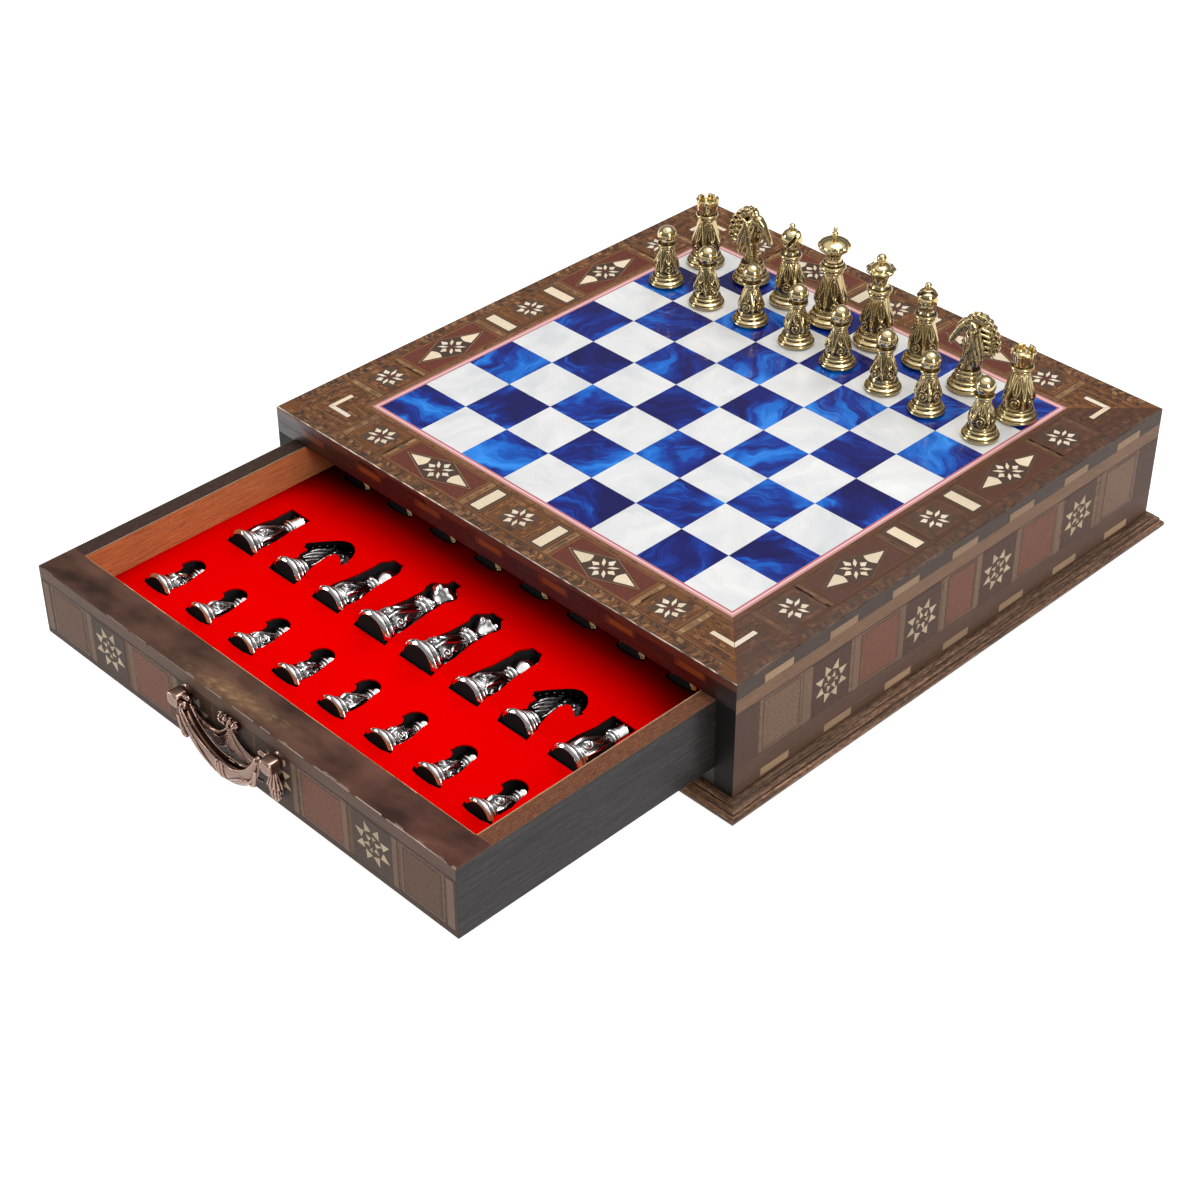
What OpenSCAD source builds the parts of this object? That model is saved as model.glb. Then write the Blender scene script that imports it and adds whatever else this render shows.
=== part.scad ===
// Chess cabinet: a board on a low marquetry case, with one full-depth drawer
// that stores the chessmen in a cut foam tray, and a swinging bail handle.
// Millimetres, +Z up. Origin: centre of the case's underside. The drawer front faces -Y.

/* [Board] */
// Side of one chess square
square = 35; // [33:0.5:38]
// Joint left between neighbouring square tiles
tile_joint = 0.1; // [0.05:0.05:0.4]
// Thickness of the square tiles and the border strips
tile_t = 1; // [0.5:0.5:2]
// Width of the striped border round the squares
border_w = 4; // [2:0.5:6]
// Width of the marquetry frame outside the border
frame_w = 39.5; // [37:0.5:46]
// Thickness of the marquetry frame
frame_t = 4; // [3.5:0.5:5]
// Radius worn onto the frame's outer top edge
frame_edge_r = 1.8; // [0.5:0.1:3]

/* [Case] */
// Thickness of the side, back and front rail boards
wall_t = 13.3; // [11:0.1:18]
// Thickness of the whole top over the drawer opening, frame included
top_t = 17; // [14:0.5:22]
// Height of the runners and the lower rail above the table
floor_h = 22.4; // [18:0.2:28]
// Thickness of the bottom panel
bottom_t = 6; // [4:0.5:9]
// Width of each drawer runner
runner_w = 14; // [10:1:24]
// Height of the base moulding
mould_h = 10.2; // [9:0.2:13]
// How far the base moulding stands out from the case
mould_out = 8.75; // [7:0.25:11]

/* [Drawer] */
// Height of the drawer
drawer_h = 45; // [44:0.5:56]
// Length of the drawer, front to back
drawer_l = 350; // [345:1:352]
// Thickness of the drawer front
front_t = 23.3; // [18:0.1:26]
// Thickness of the drawer's side and back boards
drawer_side_t = 11.1; // [9:0.1:13]
// Thickness of the drawer's plywood bottom
drawer_bottom_t = 4; // [3:0.5:5]
// How far that bottom is let into the boards round it
bottom_rebate = 5; // [3:0.5:7]
// Clearance round the drawer in its opening
drawer_gap = 0.3; // [0.2:0.05:0.6]
// How far the drawer stands open
drawer_out = 178; // [0:1:300]

/* [Tray] */
// Depth of the tray's surface below the drawer's rim
tray_drop = 22; // [20:0.5:24]
// Thickness of the red lining on the foam
lining_t = 1; // [0.6:0.1:2]
// Spacing between the two sets of men in the tray
set_pitch = 145; // [140:1:150]
// Spacing between a set's row of pawns and its row of officers
row_pitch = 58.7; // [56:0.1:62]
// Depth of every recess below the lining's surface
recess_depth = 16; // [12:0.5:17]
// How far the lining reaches over the end of a pawn's recess
pawn_lip = 7; // [0:0.5:7.5]
// How far the lining reaches over the end of every other recess
officer_lip = 3.2; // [0:0.1:4]
// Room left round a man in its recess
recess_room = 0.8; // [0.5:0.1:1.2]
// Height at which a man lies above its recess floor
seat_gap = 0.25; // [0.1:0.05:0.5]
// Distance from the tray's side to the first column of recesses
column_margin = 27; // [20:0.5:30]
// Distance from the drawer front to the first row of recesses
first_row = 24.2; // [18:0.1:30]

/* [Marquetry] */
// Depth of the inlaid pieces
inlay_t = 0.8; // [0.5:0.1:1.5]
// Distance of the inlay line from the frame's inner edge
inlay_line = 17; // [14:0.5:18]
// Radius of the petal stars on the frame
petal_star_r = 9; // [6:0.5:10]
// Distance of the diamonds from the middle of their side
diamond_at = 66; // [62:0.5:70]
// Half length of the diamonds
diamond_long = 26; // [22:0.5:26]
// Half width of the diamonds
diamond_short = 12; // [9:0.5:13]
// Width of the inlaid bars
bar_w = 7.2; // [4:0.2:8]
// Length of the inlaid bars
bar_l = 21; // [16:0.5:22]
// Distance of the bars from the middle of their side
bar_at = 24.6; // [20:0.2:27]
// Length of each arm of the corner chevrons
chevron_l = 17; // [12:0.5:18]
// How far the chevrons' corners lie outside the inlay line
chevron_out = 1; // [0:0.5:2]
// Width of the chevrons' arms
chevron_w = 3; // [2:0.2:4]
// Radius of the pointed stars on the sides and the drawer front
point_star_r = 13.1; // [10:0.1:14]
// Distance of the inner pointed stars from the middle
star_inner_at = 33; // [28:0.5:36]
// Distance of the outer pointed stars from the case's corner
star_outer_in = 75; // [68:0.5:78]
// How far the drawer's stars sit below its middle
drawer_star_drop = 1.7; // [0:0.1:3]

/* [Handle] */
// Distance between the handle's screws
handle_span = 76; // [60:1:90]
// Height of the screws above the drawer's underside
handle_z = 32.5; // [30:0.5:36]
// Distance of the bail's pivot from the drawer front
handle_off = 7.8; // [6:0.1:10]
// Width of the post heads
post_w = 9.2; // [8:0.2:11]
// Depth of the post heads, front to back
head_y = 8.8; // [7:0.2:10]
// Height of the post heads
head_z = 8.3; // [7:0.1:10]
// Radius of the necks that carry the post heads
neck_r = 3.2; // [2.8:0.1:4]
// Length of the tassels below the pivot
tassel_l = 25; // [20:0.5:27]
// Radius of the tassels
tassel_r = 4.6; // [3:0.1:4.8]
// Height of the crest above the pivot
crest_h = 7; // [6:0.2:9]
// Radius of the crest's lobes
lobe_r = 1.8; // [1.4:0.1:2]
// How far the festoons hang below the pivot
swag_drop = 12.5; // [10:0.5:14]
// Thickness of the festoons
swag_t = 3; // [2:0.2:4]
// Drop of the bail below its pivot
bail_drop = 29.4; // [24:0.2:31]
// Height of the bail's grip at its middle
bail_grip = 11.4; // [6:0.2:12]
// Depth of the bail, front to back
bail_t = 6.4; // [3:0.2:6.4]
// Radius of the bail's pivot pins
pivot_r = 1.5; // [1.2:0.1:1.8]
// Radial clearance of the pivot pins in the posts
pivot_fit = 0.05; // [0.02:0.01:0.1]
// Radius of the handle's screws
screw_r = 2; // [1.5:0.1:2.5]

/* [Chessmen] */
// Height of the pawns
pawn_h = 39.9; // [37:0.1:42]
// Height of the rooks
rook_h = 45.8; // [43:0.1:48]
// Height of the knights
knight_h = 49.5; // [47:0.1:52]
// Height of the bishops
bishop_h = 54.9; // [52:0.1:57]
// Height of the queens
queen_h = 60.9; // [58:0.1:62]
// Height of the kings
king_h = 65.2; // [62:0.1:66]
// Foot radius of the pawns
pawn_foot = 11.2; // [10:0.1:12]
// Foot radius of the rooks, knights and bishops
officer_foot = 12.2; // [11:0.1:13]
// Foot radius of the queens and kings
royal_foot = 14; // [12:0.1:14.5]

/* [Hidden] */
$fn = 48;

ranks = 8;
board_half = ranks * square / 2;
frame_in = board_half + border_w;
case_half = frame_in + frame_w;
board_z = floor_h + 2 * drawer_gap + drawer_h + top_t;
opening_top = board_z - top_t;
frame_z = board_z - frame_t;
inside_half = case_half - wall_t;

drawer_half = inside_half - drawer_gap;
drawer_z = floor_h + drawer_gap;
rim_z = drawer_z + drawer_h;
front_y = -case_half - drawer_out;
tray_half = drawer_half - drawer_side_t;
tray_front = front_y + front_t;
tray_l = drawer_l - front_t - drawer_side_t;
tray_z = rim_z - tray_drop;
recess_z = tray_z - recess_depth;

inlay_at = frame_in + inlay_line;
star_at = board_half - bar_at;
star_outer_at = case_half - star_outer_in;
side_mid_z = drawer_z + drawer_h / 2;

post_at = handle_span / 2;
post_z = drawer_z + handle_z;
pin_l = 0.33 * post_w;
eps = 0.01;

// ---------------------------------------------------------------- helpers

// A block given by its lowest and highest corners
module block(lo, hi) {
    translate(lo) cube(hi - lo);
}

// Copies of the front of the case turned round to side k: 0 front, 1 right, 2 back, 3 left
module on_side(k) {
    rotate([0, 0, 90 * k]) children();
}

// A round bead of radius t whose outside reaches radius r at height z
module bead(r, z, t) {
    translate([0, 0, z]) rotate_extrude() translate([r - t, 0]) circle(t);
}

// A barrel of radius r and height h with an arched outline, standing on z
module barrel(r, z, h) {
    arch = (r * r + h * h / 4) / (2 * r);
    translate([0, 0, z + h / 2]) rotate_extrude() intersection() {
        translate([r - arch, 0]) circle(arch, $fn = 96);
        translate([0, -h / 2]) square([r, h]);
    }
}

// ---------------------------------------------------------------- the case

// One board of the case, pocketed for the inlays of side k
module case_board(k, lo, hi) {
    color("saddlebrown") difference() {
        block(lo, hi);
        side_pattern(k, inlay_t + 1);
    }
}

module side_panel_left() {
    case_board(3, [-case_half, -case_half, 0], [-inside_half, case_half, frame_z]);
}

module side_panel_right() {
    case_board(1, [inside_half, -case_half, 0], [case_half, case_half, frame_z]);
}

module back_panel() {
    case_board(2, [-inside_half, inside_half, 0], [inside_half, case_half, frame_z]);
}

module front_rail_upper() {
    case_board(0, [-inside_half, -case_half, opening_top], [inside_half, -inside_half, frame_z]);
}

module front_rail_lower() {
    case_board(0, [-inside_half, -case_half, 0], [inside_half, -inside_half, floor_h]);
}

module bottom_panel() {
    color("burlywood") block([-inside_half, -inside_half, 0], [inside_half, inside_half, bottom_t]);
}

module drawer_runners() {
    color("tan") for (side = [-1, 1])
        translate([side * (inside_half - runner_w / 2), 0, (bottom_t + floor_h) / 2])
            cube([runner_w, 2 * inside_half, floor_h - bottom_t], center = true);
}

// Panel under the squares: it fills the case's top and rises inside the frame to carry the tiles
module board_core() {
    bed = [frame_in, frame_in, 0];
    color("peru") union() {
        block([-inside_half, -inside_half, opening_top], [inside_half, inside_half, frame_z]);
        block(-bed + [0, 0, frame_z - eps], bed + [0, 0, board_z - tile_t]);
    }
}

// Half round moulding section with two beads above it, from the case's face outwards
module moulding_section() {
    nose_r = mould_h * 0.25;
    polygon([[0, 0], [mould_out - nose_r, 0], [mould_out - nose_r, mould_h * 0.5],
        [mould_out * 0.62, mould_h * 0.55], [mould_out * 0.62, mould_h * 0.72],
        [mould_out * 0.34, mould_h * 0.78], [mould_out * 0.34, mould_h * 0.94],
        [mould_out * 0.2, mould_h], [0, mould_h]]);
    translate([mould_out - nose_r, nose_r]) circle(nose_r);
    translate([mould_out * 0.62, mould_h * 0.62]) circle(mould_h * 0.1);
    translate([mould_out * 0.34, mould_h * 0.86]) circle(mould_h * 0.08);
}

// Keeps what lies between the two 45 degree mitre planes of the front side
module mitred(reach, height) {
    intersection() {
        children();
        linear_extrude(height) polygon([[0, 0], [-reach, -reach], [reach, -reach]]);
    }
}

module moulding(k) {
    reach = case_half + mould_out;
    color("#4a2c22") on_side(k) mitred(reach, mould_h)
        translate([-reach, -case_half, 0]) rotate([90, 0, 90])
            linear_extrude(2 * reach) mirror([1, 0]) moulding_section();
}

// ---------------------------------------------------------------- the board

// Section of the frame, from its inner edge outwards, with a worn outer top edge
module frame_section() {
    square([frame_w - frame_edge_r, frame_t]);
    square([frame_w, frame_t - frame_edge_r]);
    translate([frame_w - frame_edge_r, frame_t - frame_edge_r]) circle(frame_edge_r);
}

module frame_side(k) {
    color("#7b5a3c") difference() {
        on_side(k) translate([0, 0, frame_z]) mitred(case_half, frame_t)
            translate([-case_half, -frame_in, 0]) rotate([90, 0, 90])
                linear_extrude(2 * case_half) mirror([1, 0]) frame_section();
        on_side(k) frame_pattern(board_z - inlay_t, inlay_t + 1);
        chevrons(board_z - inlay_t, inlay_t + 1);
        side_pattern(k, inlay_t + 1);
    }
}

module border_strips() {
    color("lightpink") for (k = [0:3]) on_side(k)
        translate([0, 0, board_z - tile_t]) mitred(frame_in, tile_t)
            block([-frame_in, -frame_in, 0], [frame_in, -board_half, tile_t]);
}

// Every second square, starting with the corner at the left of the front rank when first is 0
module squares(first) {
    tile = square - tile_joint;
    for (i = [0:ranks - 1], j = [0:ranks - 1])
        if ((i + j) % 2 == first)
            translate([(i + 0.5) * square - board_half, (j + 0.5) * square - board_half,
                board_z - tile_t / 2]) cube([tile, tile, tile_t], center = true);
}

module dark_squares() {
    color("mediumblue") squares(0);
}

module light_squares() {
    color("ghostwhite") squares(1);
}

// ---------------------------------------------------------------- marquetry

// Wide and narrow kites in turn round an open centre
module petal_star(r, turn) {
    for (a = [0:90:270]) {
        rotate(a + turn)
            polygon([[0.4 * r, 0], [0.68 * r, 0.21 * r], [r, 0], [0.68 * r, -0.21 * r]]);
        rotate(a + turn + 45)
            polygon([[0.24 * r, 0], [0.6 * r, 0.12 * r], [r, 0], [0.6 * r, -0.12 * r]]);
    }
}

// Eight outer points over four small inner ones, as on the sides
module point_star(r) {
    for (a = [0:45:315]) rotate(a + 22.5)
        polygon([[0.6 * r, 0.22 * r], [r, 0], [0.6 * r, -0.22 * r]]);
    for (a = [0:90:270]) rotate(a)
        polygon([[0.17 * r, 0.137 * r], [0.42 * r, 0], [0.17 * r, -0.137 * r]]);
}

// The two pale ends of a diamond
module diamond_tips() {
    tip = diamond_long * 0.88;
    root = diamond_long * 0.48;
    wide = diamond_short * 0.37;
    for (side = [-1, 1])
        polygon([[side * tip, 0], [side * root, wide], [side * (root - 2), 0],
            [side * root, -wide]]);
}

// Pale inlays of the front side of the frame, from height z, t thick
module frame_pattern(z, t) {
    translate([0, -inlay_at, z]) linear_extrude(t) {
        for (side = [-1, 0, 1]) translate([side * star_at, 0]) petal_star(petal_star_r, 22.5);
        for (side = [-1, 1]) {
            translate([side * diamond_at, 0]) petal_star(petal_star_r, 0);
            translate([side * diamond_at, 0]) diamond_tips();
            translate([side * bar_at, 0]) square([bar_w, bar_l], center = true);
        }
    }
}

// L-shaped inlays across the frame's mitres
module chevrons(z, t) {
    at = inlay_at + chevron_out;
    for (k = [0:3]) on_side(k) translate([at, -at, z]) linear_extrude(t) {
        translate([-chevron_l, 0]) square([chevron_l, chevron_w]);
        translate([-chevron_w, 0]) square([chevron_w, chevron_l]);
    }
}

module frame_inlays() {
    color("blanchedalmond") {
        for (k = [0:3]) on_side(k) frame_pattern(board_z - inlay_t, inlay_t);
        chevrons(board_z - inlay_t, inlay_t);
    }
}

// Rows of light bars and, unless it is the front, four stars on side k of the case
module side_pattern(k, depth) {
    bar_pitch = 1.44 * square;
    bar_size = [0.63 * square, 0.14 * square];
    on_side(k) translate([0, -case_half + inlay_t, 0]) rotate([90, 0, 0])
        linear_extrude(depth) {
            for (n = [-3:3], z = [board_z - 0.225 * square, mould_h + 0.125 * square])
                translate([n * bar_pitch, z]) square(bar_size, center = true);
            if (k > 0) for (x = [star_inner_at, star_outer_at], side = [-1, 1])
                translate([side * x, side_mid_z]) point_star(point_star_r);
        }
}

module side_inlays() {
    color("burlywood") for (k = [0:3]) side_pattern(k, inlay_t);
}

module drawer_pattern(depth) {
    translate([0, front_y + inlay_t, side_mid_z - drawer_star_drop]) rotate([90, 0, 0])
        linear_extrude(depth)
        for (x = [star_inner_at, star_outer_at], side = [-1, 1])
            translate([side * x, 0]) point_star(point_star_r);
}

module drawer_inlays() {
    color("burlywood") difference() {
        drawer_pattern(inlay_t);
        screw_holes();
    }
}

// ---------------------------------------------------------------- the drawer

// The plywood bottom, also cut from the boards it is let into
module drawer_bottom() {
    color("burlywood") block(
        [-tray_half - bottom_rebate, tray_front - bottom_rebate, drawer_z],
        [tray_half + bottom_rebate, tray_front + tray_l + bottom_rebate, drawer_z + drawer_bottom_t]);
}

// Clearance holes for the handle's screws, right through the drawer front
module screw_holes() {
    for (side = [-1, 1]) translate([side * post_at, front_y - 1, post_z]) rotate([-90, 0, 0])
        cylinder(r = screw_r + pivot_fit, h = front_t + 2);
}

module drawer_front() {
    color("sienna") difference() {
        block([-drawer_half, front_y, drawer_z], [drawer_half, tray_front, rim_z]);
        drawer_bottom();
        drawer_pattern(inlay_t + 1);
        screw_holes();
    }
}

module drawer_side(x_lo, x_hi) {
    color("#33261f") difference() {
        block([x_lo, tray_front, drawer_z], [x_hi, front_y + drawer_l, rim_z]);
        drawer_bottom();
    }
}

module drawer_side_left() {
    drawer_side(-drawer_half, -tray_half);
}

module drawer_side_right() {
    drawer_side(tray_half, drawer_half);
}

module drawer_back() {
    color("#33261f") difference() {
        block([-tray_half, tray_front + tray_l, drawer_z], [tray_half, front_y + drawer_l, rim_z]);
        drawer_bottom();
    }
}

// ---------------------------------------------------------------- the tray

columns = 8;
column_pitch = (2 * (tray_half - column_margin)) / (columns - 1);
// How far a man slides towards the drawer's back as it leans with its head down
lean = 1.6;
pawn_shift = -3;
officer_shift = -0.5;
officers = ["rook", "knight", "bishop", "king", "queen", "bishop", "knight", "rook"];
officer_h = [rook_h, knight_h, bishop_h, king_h, queen_h, bishop_h, knight_h, rook_h];

function column_x(i) = column_pitch * i - (tray_half - column_margin);
function pawn_row_y(set) = tray_front + first_row + set * set_pitch;
function officer_row_y(set) = pawn_row_y(set) + row_pitch;

// Half of a lying man's outline: radii r at distances z from the base
module outline(r, z, h) {
    right = [for (i = [0:len(r) - 1]) [r[i] + recess_room, z[i] * h + lean]];
    left = [for (i = [len(r) - 1:-1:0]) [-r[i] - recess_room, z[i] * h + lean]];
    polygon(concat(right, left));
}

// Room for a leaning foot of radius f
module foot_recess(f) {
    translate([-f - recess_room, -recess_room])
        square([2 * (f + recess_room), 0.66 * f + 2 * recess_room]);
}

module pawn_recess(lip) {
    f = pawn_foot;
    head_at = 0.84 - lip / pawn_h;
    foot_recess(f);
    outline([0.72 * f, 0.76 * f, 0.6 * f, 0.56 * f], [0.07, 0.4, 0.6, head_at - 0.04], pawn_h);
    translate([0, head_at * pawn_h + lean]) circle(0.16 * pawn_h + recess_room);
}

module rook_recess() {
    f = officer_foot;
    foot_recess(f);
    outline([0.76 * f, 0.78 * f, 0.62 * f, 0.62 * f], [0.07, 0.4, 0.66, 1.02], rook_h);
}

module bishop_recess() {
    f = officer_foot;
    foot_recess(f);
    outline([0.76 * f, 0.8 * f, 0.6 * f, 0.58 * f, 0.5 * f, 0.16 * f],
        [0.07, 0.25, 0.52, 0.65, 0.85, 1.01], bishop_h);
    translate([0, 0.8 * bishop_h + lean]) circle(0.13 * bishop_h + recess_room);
}

module queen_recess() {
    f = royal_foot;
    foot_recess(f);
    outline([0.74 * f, 0.74 * f, 0.56 * f, 0.54 * f, 0.66 * f, 0.66 * f, 0.3 * f, 0.26 * f],
        [0.07, 0.28, 0.5, 0.74, 0.79, 0.85, 0.93, 1.01], queen_h);
}

module king_recess() {
    f = royal_foot;
    foot_recess(f);
    outline([0.74 * f, 0.74 * f, 0.58 * f, 0.54 * f, 0.7 * f, 0.7 * f, 0.22 * f, 0.2 * f],
        [0.07, 0.24, 0.5, 0.7, 0.76, 0.82, 0.9, 1.01], king_h);
}

module knight_recess() {
    f = officer_foot;
    foot_recess(f);
    outline([0.76 * f, 0.66 * f, 0.6 * f], [0.07, 0.3, 0.7], knight_h);
    h = knight_h + recess_room;
    translate([0, lean]) polygon([[0, 0.3 * h], [-0.15 * h, 0.32 * h], [-0.17 * h, 0.48 * h],
        [-0.36 * h, 0.5 * h], [-0.41 * h, 0.57 * h], [-0.36 * h, 0.76 * h],
        [-0.22 * h, 0.95 * h], [-0.06 * h, 1.01 * h],
        [0.12 * h, 1.01 * h], [0.27 * h, 0.92 * h], [0.35 * h, 0.66 * h], [0.33 * h, 0.56 * h],
        [0.22 * h, 0.56 * h], [0.13 * h, 0.64 * h]]);
}

// Recess of an officer of height h, shortened by lip at the head
module officer_recess(man, h, lip) {
    intersection() {
        union() {
            if (man == "rook") rook_recess();
            if (man == "knight") knight_recess();
            if (man == "bishop") bishop_recess();
            if (man == "queen") queen_recess();
            if (man == "king") king_recess();
        }
        translate([-column_pitch / 2, -recess_room])
            square([column_pitch, 1.02 * h + lean + recess_room - lip]);
    }
}

// Every recess; over = 1 gives the holes of the lining, which reaches over the heads
module recesses(over) {
    translate([0, 0, recess_z]) linear_extrude(recess_depth + 1)
        for (set = [0, 1], i = [0:columns - 1]) {
            translate([column_x(i) + pawn_shift, pawn_row_y(set)]) pawn_recess(over * pawn_lip);
            translate([column_x(i) + officer_shift, officer_row_y(set)])
                officer_recess(officers[i], officer_h[i], over * officer_lip);
        }
}

module tray_sheet(z_lo, z_hi, over) {
    difference() {
        block([-tray_half, tray_front, z_lo], [tray_half, tray_front + tray_l, z_hi]);
        recesses(over);
    }
}

// Uncut foam under the recesses
module tray_base() {
    color("#151515") block([-tray_half, tray_front, drawer_z + drawer_bottom_t],
        [tray_half, tray_front + tray_l, recess_z]);
}

module tray_foam() {
    color("#151515") tray_sheet(recess_z, tray_z - lining_t, 0);
}

module tray_lining() {
    color("red") tray_sheet(tray_z - lining_t, tray_z, 1);
}

// ---------------------------------------------------------------- the handle

// Places children at the front of the drawer, level with the bail's pivot, -Y outwards
module at_handle() {
    translate([0, front_y, post_z]) children();
}

module handle_posts() {
    head_back = 0.19 * head_y;
    tassel_y = head_back + 0.55 * head_y;
    color("#8a4a35") at_handle() difference() {
        for (side = [-1, 1]) translate([side * post_at, 0, 0]) {
            rotate([90, 0, 0]) {
                cylinder(r = 1.6 * neck_r, h = 0.4 * neck_r);
                cylinder(r1 = 1.3 * neck_r, r2 = neck_r, h = handle_off);
            }
            translate([-post_w / 2, -head_back - head_y, -head_z / 2])
                cube([post_w, head_y, head_z]);
            translate([0, -tassel_y, tassel_r - tassel_l]) {
                cylinder(r1 = tassel_r, r2 = 0.45 * tassel_r, h = tassel_l - tassel_r);
                sphere(r = tassel_r);
            }
        }
        for (side = [-1, 1]) {
            translate([side * (post_at - post_w / 2 - 1), -handle_off, 0])
                rotate([0, side * 90, 0]) cylinder(r = pivot_r + pivot_fit, h = pin_l + 1.2);
            translate([side * post_at, 1, 0]) rotate([90, 0, 0])
                cylinder(r = screw_r + pivot_fit, h = handle_off);
        }
    }
}

// Crescent of casting from the crest to a post, between two drooping arcs
module festoon(x_lo, x_hi, sag_hi, sag_lo, t) {
    half = (x_hi - x_lo) / 2;
    r_hi = (half * half + sag_hi * sag_hi) / (2 * sag_hi);
    r_lo = (half * half + sag_lo * sag_lo) / (2 * sag_lo);
    translate([x_lo + half, 0, 0]) rotate([90, 0, 0]) linear_extrude(t) difference() {
        intersection() {
            translate([0, r_lo - sag_lo]) circle(r_lo, $fn = 96);
            translate([-half, -sag_lo]) square([2 * half, sag_lo]);
        }
        translate([0, r_hi - sag_hi]) circle(r_hi, $fn = 96);
    }
}

module handle_swag() {
    lobe_at = 2.6 * lobe_r;
    crest_z = crest_h - lobe_r;
    root_z = 1.4 * lobe_r;
    back_z = 35 / 18 * lobe_r;
    bead_r = 8 / 9 * lobe_r;
    bead_at = 5 / 3 * lobe_r;
    stem_z = back_z + 0.5;
    knot_r = swag_t;
    arm_from = 0.13 * post_at;
    arm_to = 0.858 * post_at;
    color("#8a4a35") at_handle() union() {
        for (side = [-1, 1]) {
            for (k = [0.5, 1.5]) translate([side * k * lobe_at, -lobe_r, 0]) {
                translate([0, 0, -root_z]) cylinder(r = lobe_r, h = crest_z + root_z);
                translate([0, 0, crest_z]) sphere(r = lobe_r);
            }
            translate([side * (arm_to - knot_r), 0, 0]) rotate([90, 0, 0])
                cylinder(r = knot_r, h = 0.8 * swag_t);
        }
        translate([-2 * lobe_at, -lobe_r, -back_z]) cube([4 * lobe_at, lobe_r, crest_z + back_z]);
        for (k = [0:3]) translate([0, -bead_r, -back_z - k * bead_at]) sphere(r = bead_r);
        translate([-0.625 * bead_r, -0.875 * bead_r, -stem_z - 3 * bead_at])
            cube([1.25 * bead_r, 0.875 * bead_r, 3 * bead_at]);
        for (side = [0, 1]) mirror([side, 0, 0]) {
            festoon(arm_from, arm_to, 0.4 * swag_drop, 0.576 * swag_drop, swag_t * 2 / 3);
            festoon(arm_from, arm_to, 0.576 * swag_drop, 0.8 * swag_drop, swag_t);
            festoon(arm_from, arm_to, 0.8 * swag_drop, swag_drop, swag_t * 2 / 3);
        }
    }
}

module handle_screws() {
    pan_h = 2.2;
    color("silver") at_handle() for (side = [-1, 1]) translate([side * post_at, 0, 0])
        rotate([-90, 0, 0]) {
            translate([0, 0, -handle_off + 1.5]) cylinder(r = screw_r, h = front_t + handle_off - 1.5);
            translate([0, 0, front_t]) cylinder(r = 2 * screw_r, h = pan_h);
        }
}

module handle_bail() {
    end_x = post_at - post_w / 2 - 0.3;
    inner_x = end_x - 0.6 * bail_t;
    inner_drop = bail_drop - bail_grip;
    outer_r = (end_x * end_x + bail_drop * bail_drop) / (2 * bail_drop);
    inner_r = (inner_x * inner_x + inner_drop * inner_drop) / (2 * inner_drop);
    eye_r = bail_t / 2;
    color("#8a4a35") at_handle() translate([0, -handle_off, 0]) union() {
        rotate([90, 0, 0]) translate([0, 0, -bail_t / 2]) linear_extrude(bail_t) difference() {
            intersection() {
                translate([0, outer_r - bail_drop]) circle(outer_r, $fn = 120);
                translate([-end_x, -bail_drop]) square([2 * end_x, bail_drop]);
            }
            translate([0, inner_r - inner_drop]) circle(inner_r, $fn = 120);
        }
        for (side = [-1, 1]) {
            translate([side * inner_x, 0, 0]) rotate([0, side * 90, 0])
                cylinder(r = eye_r, h = end_x - inner_x);
            translate([side * inner_x, 0, 0]) rotate([0, side * 90, 0])
                cylinder(r = pivot_r, h = end_x - inner_x + pin_l);
        }
    }
}

// ---------------------------------------------------------------- the chessmen

// Turned body standing on a foot of radius f: it swells to r_max at z_max and narrows
// to r_top at z_top
module swell(f, r_max, z_max, r_top, z_top) {
    z_lo = 0.7 * f;
    in = r_max - r_top;
    up = z_top - z_max;
    arc_r = (in * in + up * up) / (2 * in);
    intersection() {
        translate([r_max - arc_r, z_max]) circle(arc_r, $fn = 96);
        translate([0, z_lo]) square([r_max, z_top - z_lo]);
    }
}

// Round edge of radius t on a collar of outer radius r, filled in to the axis
module collar(r, z, t) {
    translate([r - t, z]) circle(t, $fn = 24);
    translate([0, z - t]) square([r - t, 2 * t]);
}

// Shallow dome over radius r, from z_lo up to z_hi
module dome(r, z_lo, z_hi) {
    cap_r = (r * r + (z_hi - z_lo) * (z_hi - z_lo)) / (2 * (z_hi - z_lo));
    intersection() {
        translate([0, z_hi - cap_r]) circle(cap_r, $fn = 96);
        translate([0, z_lo - 1]) square([r, z_hi - z_lo + 1]);
    }
}

module ball(r, z) {
    intersection() {
        translate([0, z]) circle(r);
        translate([0, z - r]) square([r, 2 * r]);
    }
}

// Stepped foot of radius f
module foot(f) {
    square([0.875 * f, 0.4 * f]);
    collar(f, 0.25 * f, 0.15 * f);
    square([0.74 * f, 0.57 * f]);
    square([0.68 * f, 0.73 * f]);
}

module pawn() {
    h = pawn_h;
    rotate_extrude() {
        foot(pawn_foot);
        swell(pawn_foot, 0.73 * pawn_foot, 0.36 * h, 0.42 * pawn_foot, 0.66 * h);
        collar(0.5 * pawn_foot, 0.675 * h, 0.02 * h);
        collar(0.54 * pawn_foot, 0.725 * h, 0.02 * h);
        square([0.42 * pawn_foot, 0.8 * h]);
        ball(0.143 * h, 0.857 * h);
    }
}

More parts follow.
